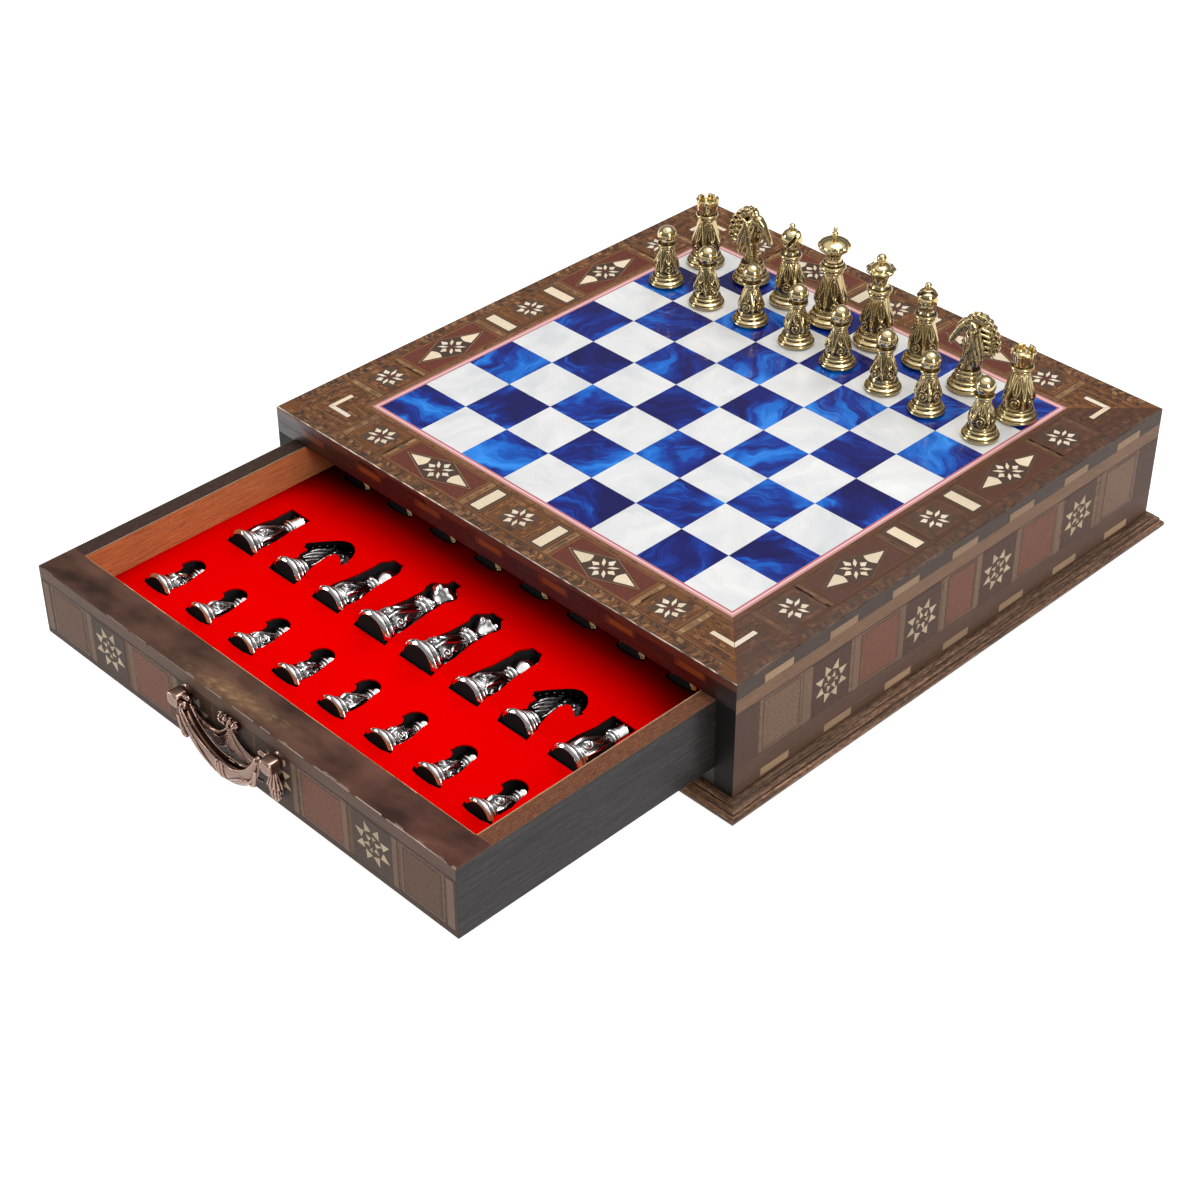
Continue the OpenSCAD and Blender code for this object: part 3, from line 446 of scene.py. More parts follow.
BROWN = (0.159, 0.0565, 0.0145)
BROWN_GREY = (0.144, 0.0560, 0.0175)
BROWN_DARK = (0.0759, 0.0324, 0.0165)
GOLDEN = (0.26, 0.1092, 0.0407)
GOLDEN_PALE = (0.3125, 0.1522, 0.0679)
RED_WOOD = (0.136, 0.0305, 0.0168)
EBONY = (0.0408, 0.0199, 0.0136)
CREAM = (0.732, 0.605, 0.432)
CREAM_WHITE = (0.759, 0.6555, 0.529)
EDGE_CHIPS = [BROWN, (0.075, 0.034, 0.016), (0.13, 0.066, 0.035), (0.048, 0.024, 0.014), BROWN_DARK,
              (0.28, 0.14, 0.060), BROWN_GREY, (0.20, 0.090, 0.034)]
PATCH_CHIPS = [BROWN_DARK, BROWN, BROWN_GREY, GOLDEN, BROWN_DARK, BROWN]
BRICKS = [BROWN, BROWN_GREY, BROWN_DARK, (0.062, 0.029, 0.015), (0.24, 0.115, 0.045)]
FLECKS = [BROWN_DARK, (0.05, 0.022, 0.012), GOLDEN, (0.20, 0.095, 0.04), BROWN_DARK]

# the frame's panels, across the frame: from FIELD[0] to FIELD[1], centred on MIDDLE
FIELD = (148.2, 173.6)
MIDDLE = 161.0
BAR_AT = 24.7
STAR = 9.0


def petals(skin, u, turn):
    """Star of wide short kites and thin long ones in turn."""
    for i in range(8):
        a = radians(45 * i + turn) + uniform(-0.05, 0.05)
        c, s = cos(a), sin(a)
        long = STAR * uniform(0.95, 1.04)
        if i % 2:
            tips = [(0.2 * STAR, 0), (0.62 * STAR, 0.13 * STAR), (long, 0), (0.5 * STAR, -0.13 * STAR)]
        else:
            tips = [(0.40 * STAR, 0.05 * STAR), (0.60 * STAR, 0.23 * STAR), (long, 0.02 * STAR),
                    (0.64 * STAR, -0.22 * STAR)]
        skin.poly([(u + p * c - q * s, MIDDLE + p * s + q * c) for p, q in tips], 9,
                  choice([CREAM_WHITE, CREAM]), 1, 0.06)


def chips(skin, u0, u1, v0, v1, lo, hi):
    """Nine small blocks strewn over a patch, each at a height of its own."""
    for i in range(9):
        w, h = uniform(*lo), uniform(*hi)
        u, v = uniform(u0, u1 - w), uniform(v0, v1 - h)
        tint = choice(PATCH_CHIPS)
        skip_choice()
        skin.rect(u, u + w, v, v + h, 2 + 0.09 * (i + 1), tint, 0, 0.2)


def chip_row(skin, u0, u1, v0, v1, widths, level, tints, slant=0.0, upright=False):
    """Row of blocks side by side, along u or, when upright, along v."""
    u = u0
    while u < u1 - widths[0]:
        w = min(uniform(*widths), u1 - u)
        d = slant * (v1 - v0)
        pts = [(u, v0), (u + w, v0), (u + w + d, v1), (u + d, v1)]
        if upright:
            pts = [(q, p) for p, q in pts]
        tint = choice(tints)
        skip_choice()
        skin.poly(pts, level, tint, 0, 0.2)
        u += w


def flecks(skin, u0, u1, v0, v1, count):
    """Fine short dashes that give the marquetry its woven look."""
    for i in range(count):
        w, h = uniform(1.0, 4.2), uniform(0.3, 0.75)
        if random() < 0.3:
            w, h = h, 0.6 * w
        u, v = uniform(u0, u1 - w), uniform(v0, v1 - h)
        skin.rect(u, u + w, v, v + h, 2 + 0.9 * (i + 1) / (count + 1), choice(FLECKS), 0, 0.2)


def outline_strip(skin, pts, w, level, tint):
    """Closed line of width w inside the convex outline pts."""
    cu, cv = sum(p[0] for p in pts) / len(pts), sum(p[1] for p in pts) / len(pts)
    for a, b in zip(pts, pts[1:] + pts[:1]):
        k = w / (abs((b[0] - a[0]) * (cv - a[1]) - (b[1] - a[1]) * (cu - a[0])) / dist(a, b))
        c, d = ((p[0] + (cu - p[0]) * k, p[1] + (cv - p[1]) * k) for p in (b, a))
        skin.poly([a, b, c, d], level, tint, 0, 0.05)


def star_box(skin, u, half_u):
    """Star on a dark square, with broken lines of small blocks round it."""
    half_v = 12.4
    skin.rect(u - half_u, u + half_u, MIDDLE - half_v, MIDDLE + half_v, 1, BROWN)
    for w, level, tint in ((0.0, 2, BROWN_DARK), (0.9, 3, GOLDEN), (1.5, 4, BROWN_GREY)):
        skin.rect(u - half_u + w, u + half_u - w, MIDDLE - half_v + w, MIDDLE + half_v - w, level, tint,
                  0, 0.03)
    for d in (-1, 1):
        a, b = sorted((MIDDLE + d * 9.2, MIDDLE + d * 12.0))
        chip_row(skin, u - half_u + 3, u + half_u - 3, a, b, (2.0, 5.5), 5,
                 [BROWN, BROWN_GREY, BROWN, BROWN_DARK, GOLDEN])
        for r0, r1 in ((9.4, 10.6), (11.4, 12.6), (13.8, 15.6)):
            if r1 < half_u - 1.5:
                a, b = sorted((u + d * r0, u + d * r1))
                chip_row(skin, MIDDLE - 9, MIDDLE + 9, a, b, (1.6, 4.0), 6,
                         [BROWN_DARK, BROWN, BROWN_GREY, GOLDEN], upright=True)
    skin.rect(u - 8.6, u + 8.6, MIDDLE - 8.9, MIDDLE + 8.9, 7, (0.088, 0.050, 0.030))
    for i in range(10):
        a, b = u + uniform(-8, 5), MIDDLE + uniform(-8.4, 7.8)
        skin.rect(a, a + uniform(1.5, 4.0), b, b + uniform(0.4, 0.9), 7.1 + 0.07 * i,
                  choice([BROWN_DARK, GOLDEN]), 0, 0.2)
    skin.poly(octagon(u, MIDDLE, 0.42 * STAR), 8, (0.10, 0.035, 0.024))
    petals(skin, u, 22.5)


def rhomb_panel(skin, side):
    """Red panel with a star between two cream points in a dark rhomb."""
    lo, hi = span(side, 37.0, 96.0)
    skin.rect(lo, hi, *FIELD, 2, GOLDEN, 0, 0.02)
    skin.rect(lo + 0.5, hi - 0.5, FIELD[0] + 0.5, 173.2, 3, RED_WOOD)
    u = side * 66.0
    outline_strip(skin, diamond(u, MIDDLE, 29.0, 12.4), 0.6, 4, BROWN_DARK)
    outline_strip(skin, diamond(u, MIDDLE, 27.2, 11.6), 0.5, 5, GOLDEN_PALE)
    skin.poly(diamond(u, MIDDLE, 25.8, 10.9), 6, (0.060, 0.033, 0.021))
    for s in (-1, 1):
        tip = [(23.4, 0), (11.9, 4.8), (10.6, 2.4), (10.0, 0), (10.6, -2.4), (11.9, -4.8)]
        skin.poly([(u + s * p, MIDDLE + q) for p, q in tip], 8, CREAM, 1)
    skin.poly(octagon(u, MIDDLE, 3.6), 8, (0.085, 0.03, 0.022))
    petals(skin, u, 0)


def golden_strip(skin, side, at):
    """Streaky golden strip beside a panel."""
    a, b = span(side, at - 1.9, at + 1.9)
    skin.rect(a, b, *FIELD, 2, (0.25, 0.135, 0.058))
    for i in range(7):
        h = uniform(1.5, 5)
        v = uniform(148.4, 173.4 - h)
        skin.rect(a + uniform(0, 1.4), b - uniform(0, 1.4), v, v + h, 2.1 + 0.1 * i,
                  choice([(0.16, 0.085, 0.042), (0.33, 0.19, 0.085), (0.21, 0.11, 0.05)]), 0, 0.2)
    skin.rect(*span(side, at + 1.9, at + 2.3), *FIELD, 3, BROWN_DARK)


def pale_bar(skin, u):
    """Pale bar between dark and golden lines."""
    v, half = 160.9, 6.9
    for w, level, tint in ((5.9, 2, EBONY), (5.2, 3, GOLDEN_PALE), (4.8, 4, EBONY)):
        skin.rect(u - w, u + w, v - half - w, v + half + w, level, tint, 0, 0.03)
    skin.rect(u - 3.6, u + 3.6, 150.4, 171.4, 5, CREAM, 1)


def corner(skin, side):
    """Nested corner lines, rows of bricks and the pale chevron."""
    for v, w, tint, length in ((151.2, 0.7, GOLDEN, 12.0), (155.4, 0.6, BROWN_DARK, 15.0),
                               (167.4, 0.7, GOLDEN, 27.0), (170.6, 0.7, BROWN_DARK, 31.0)):
        ends = [(v - length, v), (v, v), (v + w, v + w), (v - length, v + w)]
        skin.poly([(side * p, q) for p, q in ends], 3, tint)
    chips(skin, *span(side, 141, 157), 163.4, 167.2, (2, 5), (0.8, 1.8))
    chips(skin, *span(side, 141, 163), 168.3, 170.4, (2, 6), (0.6, 1.4))
    for v in (149.0, 152.4, 156.6, 164.4, 168.6, 171.6):
        chip_row(skin, *span(side, 136.5, v - 1.5), v, v + 1.5, (1.2, 4.0), 4, BRICKS)
    for d in (-9.0, 8.0):
        u = side * BAR_AT + d
        chip_row(skin, 149.5, 172.5, u, u + 1.0, (1.2, 3.4), 4, BRICKS, upright=True)
    chevron = [(144.6, 159.1), (158.9, 159.1), (161.9, 162.1), (144.6, 162.1)]
    skin.poly([(side * p, q) for p, q in chevron], 8, CREAM if side > 0 else CREAM_WHITE, 1)


def lit_side(c):
    """Painted light: a darker, duller copy of the tones for the frame's right side, as that side looks under
    its sheen; the pale inlays stay.
    """
    if c[0] >= 0.4:
        return c
    return tuple(k * (0.42 * a + 0.24 * b)
                 for a, b, k in zip(c, (0.125, 0.064, 0.040), (0.88, 0.67, 0.48)))


def frame_veneer(k):
    """The marquetry on top of one side of the frame; u along it, v out from the middle."""
    seed(40 + k)
    right = k == 1
    skin = Skin(f"frame_veneer_{k}", "cabinet", lambda u, v, h: turned(k, u, -v, BOARD_Z + h),
                [VENEER_RIGHT_SHEEN if right else VENEER, PALE])
    if right:
        # painted light: the right side takes the same tones, darker and duller
        skin.tone = lit_side
    # ground, golden strip by the border, dark lines, and the line that closes the panels outside
    for v0, v1, level, tint in ((FRAME_IN, 182.6, 0, BROWN), (FRAME_IN, 147.2, 1, (0.215, 0.090, 0.038)),
                                (147.2, 147.7, 1, BROWN_DARK), (173.9, 174.4, 1, GOLDEN),
                                (174.4, 175.2, 1, BROWN_DARK)):
        skin.poly([(-v0, v0), (v0, v0), (v1, v1), (-v1, v1)], level, tint)
    chip_row(skin, -172, 169, 175.6, 178.5, (0.9, 2.6), 1, EDGE_CHIPS, 0.5)
    chip_row(skin, -174, 172, 178.9, 182.3, (0.9, 2.8), 1, EDGE_CHIPS, -0.4)
    flecks(skin, -170, 170, 175.6, 182.2, 330)
    flecks(skin, -144, 144, 144.4, 147.6, 150)
    for side in (-1, 1):
        flecks(skin, *span(side, 137, 150), 148.5, 173, 60)
        flecks(skin, *span(side, 148, 165), 163, 173, 50)
        rhomb_panel(skin, side)
        for at in (33.7, 99.4, 133.2):
            golden_strip(skin, side, at)
        pale_bar(skin, side * BAR_AT)
        star_box(skin, side * 115.6, 15.4)
        chip_row(skin, 149.5, 172.5, *span(side, 136.2, 138.2), (1.6, 4.5), 2,
                 [BROWN_DARK, BROWN, BROWN_GREY], upright=True)
    star_box(skin, 0.0, 16.6)
    for side in (-1, 1):
        corner(skin, side)
    return skin


SIDE_BROWN = (0.170, 0.0935, 0.0562)
SIDE_BAND = (0.193, 0.1015, 0.0550)
SIDE_LOW = (0.0935, 0.0460, 0.0275)
SIDE_RED = (0.161, 0.0580, 0.0322)
SIDE_DARK = (0.0780, 0.0361, 0.0222)
SIDE_PALE = (0.46, 0.35, 0.22)
SIDE_PALE_DIM = (0.34, 0.25, 0.15)
SIDE_BAR = (0.32, 0.20, 0.115)
STRIP = (0.17, 0.100, 0.062)
FRONT_BROWN = (0.128, 0.0600, 0.0305)
FRONT_RED = (0.163, 0.0566, 0.0282)
FRONT_DARK = (0.0635, 0.0335, 0.0212)
# the rail's dark lacquer, and the black of the painted reflections in it
GLOSS_DEEP, REFLECTED_BLACK = (0.012, 0.004, 0.003), (0.003, 0.001, 0.001)

# what the sides and the drawer's front share
SIDE_STAR = 13.1
BAR_PITCH = 50.4
BAR_ROWS = (74.7, 79.7), (12.1, 17.1)


def points(skin, u, v):
    """Eight slim outer points round six small triangles."""
    lean = choice([0, 90]) + uniform(-12, 12)
    shapes = [(22.5 + 45 * i, [(0.575, 0.205), (1.03, 0.01), (0.575, -0.205)], SIDE_PALE) for i in range(8)]
    for turn, shape, tint in ((28, [(0.18, 0.13), (0.58, 0.02), (0.18, -0.10)], SIDE_PALE),
                              (-34, [(0.20, 0.10), (0.50, 0.04), (0.24, -0.14)], SIDE_PALE),
                              (85, [(0.42, 0.12), (0.16, 0.02), (0.42, -0.11)], SIDE_PALE_DIM)):
        shapes += [(lean + 180 * i + turn, shape, tint) for i in range(2)]
    for turn, shape, tint in shapes:
        a = radians(turn + uniform(-2, 2))
        c, s = cos(a), sin(a)
        long = uniform(0.94, 1.04)
        skin.poly([(u + SIDE_STAR * (p * long * c - q * s), v + SIDE_STAR * (p * long * s + q * c))
                   for p, q in shape], 6, tint, 1, 0.14)


def outlined(skin, u0, u1, v0, v1, tint, line):
    w = 0.8
    skin.rect(u0, u1, v0, v1, 3, line)
    skin.rect(u0 + w, u1 - w, v0 + w, v1 - w, 4, tint)


def side_bars(skin, gloss=False):
    for n in range(-3, 4):
        u = n * BAR_PITCH
        for z0, z1 in BAR_ROWS:
            skin.rect(u - 11, u + 11, z0, z1, 4, (0.090, 0.020, 0.004) if gloss else SIDE_BAR, 0, 0.15)
            if gloss:
                skin.rect(u - 8, u + 9, z0 + 0.8, z1 - 0.8, 5, (0.170, 0.047, 0.0065), 0, 0.3)


def panel_band(skin, z0, z1, mid, panels, strips, end, dark):
    """Row of panels and stars shared by the sides and the drawer front."""
    for side in (-1, 1):
        for at, w, tint in panels:
            u = side * at
            skin.rect(u - w - 1.2, u + w + 1.2, z0, z1, 2, STRIP)
            outlined(skin, u - w, u + w, z0 + 1.0, z1 - 1.0, tint, dark)
        for at in strips:
            skin.rect(side * at - 1.9, side * at + 1.9, z0 - 0.5, z1 + 0.5, 6, STRIP)
        for at in (108.5, 33.25):
            skin.rect(side * at - 15.2, side * at + 15.2, z0, z1, 5, dark)
            points(skin, side * at, mid)
        skin.rect(*span(side, *end), z0, z1, 3, dark)


def side_veneer(k):
    seed(60 + k)
    skin = Skin(f"side_veneer_{k}", "cabinet", lambda u, v, h: turned(k, u, -CASE_HALF - h, v),
                [VENEER_SATIN, PALE])
    skin.bands(CASE_HALF, [(10.3, 84.1, 0, SIDE_BROWN), (74.5, 84.1, 1, (0.068, 0.042, 0.031)),
                           (65.6, 74.3, 1, SIDE_BAND), (64.4, 65.4, 1, SIDE_DARK),
                           (17.4, 27.8, 1, SIDE_LOW), (27.8, 28.6, 2, SIDE_DARK),
                           (10.3, 17.2, 1, SIDE_LOW)])
    side_bars(skin)
    panel_band(skin, 28.6, 64.4, 45.5, [(69.3, 16.0, SIDE_RED), (147.8, 14.6, SIDE_BROWN)],
               [129.5, 88.6, BAR_PITCH, 14.6], (165.0, CASE_HALF), SIDE_DARK)
    outlined(skin, -12.2, 12.2, 29.6, 63.4, SIDE_RED, SIDE_DARK)
    return skin


def rail_veneer():
    """Lacquered front of the case above and below the drawer, with painted reflections of the drawer's dark
    insides in it.
    """
    seed(71)
    skin = Skin("rail_veneer", "cabinet", lambda u, v, h: turned(0, u, -CASE_HALF - h, v),
                [VENEER_GLOSS, VENEER_SATIN])
    skin.bands(CASE_HALF, [(68.0, 84.1, 0, GLOSS_DEEP), (80.0, 84.1, 1, (0.080, 0.020, 0.008)),
                           (70.6, 74.4, 1, (0.020, 0.006, 0.004))])
    # dark blotches along the rail: painted reflections of the drawer's black insides in the gloss
    for i in range(26):
        u, w = uniform(-CASE_HALF, CASE_HALF - 40), uniform(10, 38)
        z, h = choice([(68.1, 2.4), (69.8, 3.0), (79.9, 2.6), (72.4, 2.0)])
        skin.poly([(u, z), (u + w, z), (u + 0.8 * w, z + h), (u + 0.15 * w, z + h)], 1.2 + 0.05 * i,
                  choice([REFLECTED_BLACK, (0.040, 0.009, 0.004), REFLECTED_BLACK]), 0, 0.2)
    for side in (-1, 1):
        skin.rect(*span(side, 170.3, CASE_HALF), 0.3, 68.0, 0, (0.003, 0.0025, 0.002), 1)
    skin.rect(-170.2, 170.2, 10.3, 22.3, 0, GLOSS_DEEP)
    side_bars(skin, gloss=True)
    return skin


def drawer_veneer():
    seed(81)
    skin = Skin("drawer_veneer", "drawer", lambda u, v, h: (u, FRONT_Y - h, v), [VENEER_SATIN, PALE])
    z0, z1 = 27.0, 58.6
    skin.bands(DRAWER_HALF, [(22.75, 67.65, 0, FRONT_BROWN), (60.2, 67.65, 1, (0.126, 0.070, 0.046)),
                             (58.9, 60.1, 2, FRONT_DARK), (22.75, z0, 1, (0.053, 0.0265, 0.0150))])
    panel_band(skin, z0, z1, 43.5, [(70.4, 16.4, FRONT_RED), (145.2, 14.2, FRONT_BROWN)],
               [125.3, 87.9, 48.7], (161.8, DRAWER_HALF), FRONT_DARK)
    for side in (-1, 1):
        skin.rect(*span(side, 162.6, 168.0), z0, z1, 5, STRIP)
    skin.rect(-16, 16, z0, z1, 3, (0.060, 0.036, 0.026))
    return skin


RIM_TONE = (0.086, 0.040, 0.0275)
RIM_GOLD = (0.235, 0.135, 0.068)


def worn_tone(u, v):
    """Stained wood in clouds, redder to the right, rubbed golden behind the handle."""
    cloud = noise.fractal(Vector((u / 34, v / 15, 4.0)), 0.9, 2.0, 4)
    gold = exp(-((u + 4) / 34) ** 2 - ((v - FRONT_Y - 7 - 0.05 * u) / 5.5) ** 2)
    gold *= 0.25 + 1.5 * abs(noise.fractal(Vector((u / 9, v / 1.3, 9.0)), 0.7, 2.0, 3))
    red = max(0.0, u / DRAWER_HALF)
    shade = 0.96 * max(0.4, 1 + 0.85 * cloud)
    base = [shade * c * (1 + k * red) for c, k in zip(RIM_TONE, (0.12, -0.08, -0.05))]
    return tuple(c + 1.25 * gold * (g - c) for c, g in zip(base, RIM_GOLD))


def rim_veneer():
    """Top edges of the drawer's four boards, with their worn inner and outer arrises."""
    seed(91)
    skin = Skin("rim_veneer", "drawer", lambda u, v, h: (u, v, RIM_Z + h), [VENEER_RIM, VENEER])
    inside = DRAWER_BACK - DRAWER_WALL
    skin.cloth(-DRAWER_HALF, DRAWER_HALF, FRONT_Y, TRAY_FRONT, 230, 18, worn_tone)
    for side, tint in ((-1, (0.050, 0.0277, 0.0214)), (1, (0.158, 0.059, 0.029))):
        skin.rect(*span(side, TRAY_HALF, DRAWER_HALF), TRAY_FRONT, DRAWER_BACK, 0, tint)
        skin.rect(*span(side, TRAY_HALF, TRAY_HALF + 0.7), TRAY_FRONT, inside + 0.1, 2,
                  (0.40, 0.25, 0.14))
        skin.rect(*span(side, DRAWER_HALF - 0.5, DRAWER_HALF), FRONT_Y, DRAWER_BACK, 2,
                  (0.13, 0.07, 0.042))
    skin.rect(-TRAY_HALF, TRAY_HALF, inside, DRAWER_BACK, 0, RIM_TONE)
    # worn arrises of the front board: a broken pale line outside, a golden one by the lining
    u = -DRAWER_HALF
    while u < DRAWER_HALF - 1:
        w = min(uniform(2, 9), DRAWER_HALF - u)
        near = (u + DRAWER_HALF) / (2 * DRAWER_HALF)
        if random() < 0.35 + 0.6 * near:
            deep = FRONT_Y + uniform(0.25, 0.45) + 0.35 * near * random()
            pale = tuple(c * (0.35 + 0.65 * near) for c in (0.52, 0.40, 0.32))
            skin.rect(u, u + w, FRONT_Y, deep, 3, pale, 1, 0.25)
            if random() < 0.5 * near:
                skin.rect(u, u + w * 0.8, deep + 0.5, deep + 0.85, 3, (0.40, 0.28, 0.2), 1, 0.25)
        u += w
    u = -TRAY_HALF
    while u < TRAY_HALF - 1:
        w = min(uniform(4, 16), TRAY_HALF - u)
        skin.rect(u, u + w, TRAY_FRONT - uniform(0.25, 0.6), TRAY_FRONT, 3,
                  choice([(0.42, 0.24, 0.12), (0.30, 0.15, 0.07), (0.50, 0.32, 0.18)]), 1, 0.25)
        u += w
    return skin


def inner_walls():
    """Warm brown insides of the drawer above the tray; the front one leaves room for the screws."""
    seed(93)
    z0, z1, gap, hole = 45.8, 67.6, 0.1, (4.5, 4.4)
    y0, y1 = TRAY_FRONT + gap, DRAWER_BACK - DRAWER_WALL - gap
    inside = DRAWER_BACK - DRAWER_WALL
    fronts = [(a + gap, b - gap, z0, z1) for a, b in
              ((-TRAY_HALF, -POST_AT - hole[0]), (hole[0] - POST_AT, POST_AT - hole[0]),
               (POST_AT + hole[0], TRAY_HALF))]
    for u in (-POST_AT, POST_AT):
        fronts += [(u - hole[0], u + hole[0], POST_Z + hole[1], z1),
                   (u - hole[0], u + hole[0], z0, POST_Z - hole[1])]
    for name, at, patches in (
            ("left", lambda u, v, h: (-TRAY_HALF + h, u, v), [(y0, y1, z0, z1)]),
            ("right", lambda u, v, h: (TRAY_HALF - h, -u, v), [(-y1, -y0, z0, z1)]),
            ("front", lambda u, v, h: (-u, TRAY_FRONT + h, v), fronts),
            ("back", lambda u, v, h: (u, inside - h, v), [(-TRAY_HALF + gap, TRAY_HALF - gap, z0, z1)])):
        skin = Skin("inner_wall_" + name, "drawer", at, [VENEER_SATIN])
        for patch in patches:
            skin.rect(*patch, 0, (0.55, 0.19, 0.069))
        yield skin


def border():
    """Red, pink, white, pink and brown lines round the squares."""
    seed(95)
    skin = Skin("border_lines", "cabinet", lambda u, v, h: (u, v, BOARD_Z + h), [LINE])
    r0 = BOARD_HALF
    for r1, tint in ((140.35, (0.26, 0.20, 0.22)), (141.15, (0.56, 0.11, 0.14)), (141.5, (0.66, 0.29, 0.30)),
                     (142.2, (0.68, 0.62, 0.60)), (143.0, (0.60, 0.20, 0.22)),
                     (143.6, (0.50, 0.27, 0.23)), (FRAME_IN, (0.28, 0.12, 0.09))):
        for k in range(4):
            pts = [turned(k, x, y, 0)[:2] for x, y in ((-r0, -r0), (r0, -r0), (r1, -r1), (-r1, -r1))]
            skin.poly(pts, 0, tint, 0, 0.0)
        r0 = r1
    return skin


def arris():
    """Worn, rounded outer edge of the top. Along the front, on the middle of its curve, a broken near-white
    line: wear and a painted highlight.
    """
    seed(97)
    steps, cuts, r, in_by = 6, 90, 0.9, 0.87
    row = steps + 1
    verts, faces, tints, uvs = [], [], [], []
    for k in range(4):
        for i in range(cuts + 1):
            u = -1 + 2 * i / cuts
            wear = uniform(0.3, 1.0) if random() < 0.8 else 0.1
            for j in range(row):
                a = QUARTER * j / steps
                d = CASE_HALF - in_by + r * sin(a)
                at = turned(k, u * d, -d, BOARD_Z - in_by + r * cos(a))
                verts.append(tuple(c * MM for c in at))
                # front board, middle of the curve: wear and a painted highlight; elsewhere faint wear only
                m = wear if j in (2, 3) and k == 0 else 0.05 * wear
                tints += [p * (1 - m) + q * m for p, q in zip((0.060, 0.030, 0.018), (1.0, 0.84, 0.68))]
                tints.append(1)
                uvs.append((u * d * MM, j * 0.0005))
        base = k * (cuts + 1) * row
        for i in range(cuts):
            for j in range(steps):
                p = base + i * row + j
                faces.append((p, p + 1, p + row + 1, p + row))
    mesh = bpy.data.meshes.new("top_arris")
    mesh.from_pydata(verts, [], faces)
    uv = mesh.uv_layers.new(name="grain")
    col = mesh.color_attributes.new("tint", "FLOAT_COLOR", "POINT")
    col.data.foreach_set("color", tints)
    uv.data.foreach_set("uv", [c for p in mesh.polygons for i in p.vertices for c in uvs[i]])
    mesh.materials.append(VENEER)
    mesh.shade_smooth()
    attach(add_object("top_arris", mesh), "cabinet")


for k in range(4):
    frame_veneer(k).build("frame_inlays")
for k in (1, 2, 3):
    side_veneer(k).build("side_inlays")
rail_veneer().build("side_inlays")
drawer_veneer().build("drawer_inlays")
rim_veneer().build()
for skin in inner_walls():
    skin.build()
border().build()
arris()


# ------------------------------------------------------------------ meshes in the round

class Lump:
    """Gathers grids of points into one smooth mesh, in millimetres."""

    def __init__(self):
        self.verts, self.faces, self.marks = [], [], []

    def grid(self, rows, capped=False, marks=None):
        """rows: array (m, n, 3), each row closed; marks: brightness of each point."""
        m, n, _ = rows.shape
        base = len(self.verts)
        self.marks.extend(np.ones(m * n) if marks is None else marks.ravel())
        self.verts.extend(map(tuple, rows.reshape(-1, 3)))
        for i in range(m - 1):
            for j in range(n):
                a, b = base + i * n + j, base + i * n + (j + 1) % n
                self.faces.append((a, b, b + n, a + n))
        if capped:
            self.faces.append(tuple(base + j for j in range(n))[::-1])
            self.faces.append(tuple(base + (m - 1) * n + j for j in range(n)))

    def tube(self, path, radii, n=10, squash=1.0, up=(0, 0, 1)):
        """Round rod along path; squash flattens it across up."""
        path = np.array(path, float)
        radii = np.full(len(path), radii, float) if np.isscalar(radii) else np.array(radii, float)
        tan = np.gradient(path, axis=0)
        tan /= np.linalg.norm(tan, axis=1)[:, None] + 1e-12
        side = np.cross(tan, np.array(up, float))
        bad = np.linalg.norm(side, axis=1) < 1e-3
        side[bad] = np.cross(tan[bad], np.array([0.3, 1, 0.2]))
        side /= np.linalg.norm(side, axis=1)[:, None]
        lift = np.cross(side, tan)
        ang = np.linspace(0, tau, n, endpoint=False)
        ring = (np.cos(ang)[None, :, None] * side[:, None]
                + squash * np.sin(ang)[None, :, None] * lift[:, None])
        self.grid(path[:, None] + radii[:, None, None] * ring, True)

    def ball(self, centre, radii, n=14, m=9):
        radii = np.array([radii] * 3 if np.isscalar(radii) else radii, float)
        lat = np.linspace(-pi / 2, pi / 2, m)
        lon = np.linspace(0, tau, n, endpoint=False)
        rows = np.stack([np.cos(lat)[:, None] * np.cos(lon), np.cos(lat)[:, None] * np.sin(lon),
                         np.sin(lat)[:, None] * np.ones(n)], -1) * radii
        self.grid(rows + np.array(centre, float))

    def lathe(self, prof, n, relief=None, grooves=()):
        """Turned body, with relief(angle, z, r) on it and dark grooves at the given heights."""
        prof = np.array(prof, float)
        ang = np.linspace(0, tau, n, endpoint=False)
        r = prof[:, 0][:, None] * np.ones(n)
        marks = None
        if relief is not None:
            more, marks = relief(ang[None, :], prof[:, 1][:, None], r)
            r = r + more
        if grooves:
            marks = np.ones((len(prof), n)) if marks is None else marks * np.ones((1, n))
            for g in grooves:
                marks = marks * (1 - 0.93 * np.exp(-(((prof[:, 1] - g) / 0.42) ** 2)))[:, None]
        rows = np.stack([r * np.cos(ang), r * np.sin(ang), prof[:, 1][:, None] * np.ones(n)], -1)
        self.grid(rows, marks=marks)

    def mesh(self, name, mats, scale=MM):
        mesh = bpy.data.meshes.new(name)
        mesh.from_pydata([tuple(c * scale for c in v) for v in self.verts], [], self.faces)
        for m in mats:
            mesh.materials.append(m)
        mesh.attributes.new("patina", "FLOAT", "POINT").data.foreach_set("value", self.marks)
        mesh.shade_smooth()
        mesh.validate()
        return mesh


def place(name, mesh, body, matrix, *stands_for):
    obj = add_object(name, mesh)
    obj.matrix_world = matrix
    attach(obj, body)
    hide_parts(*stands_for)


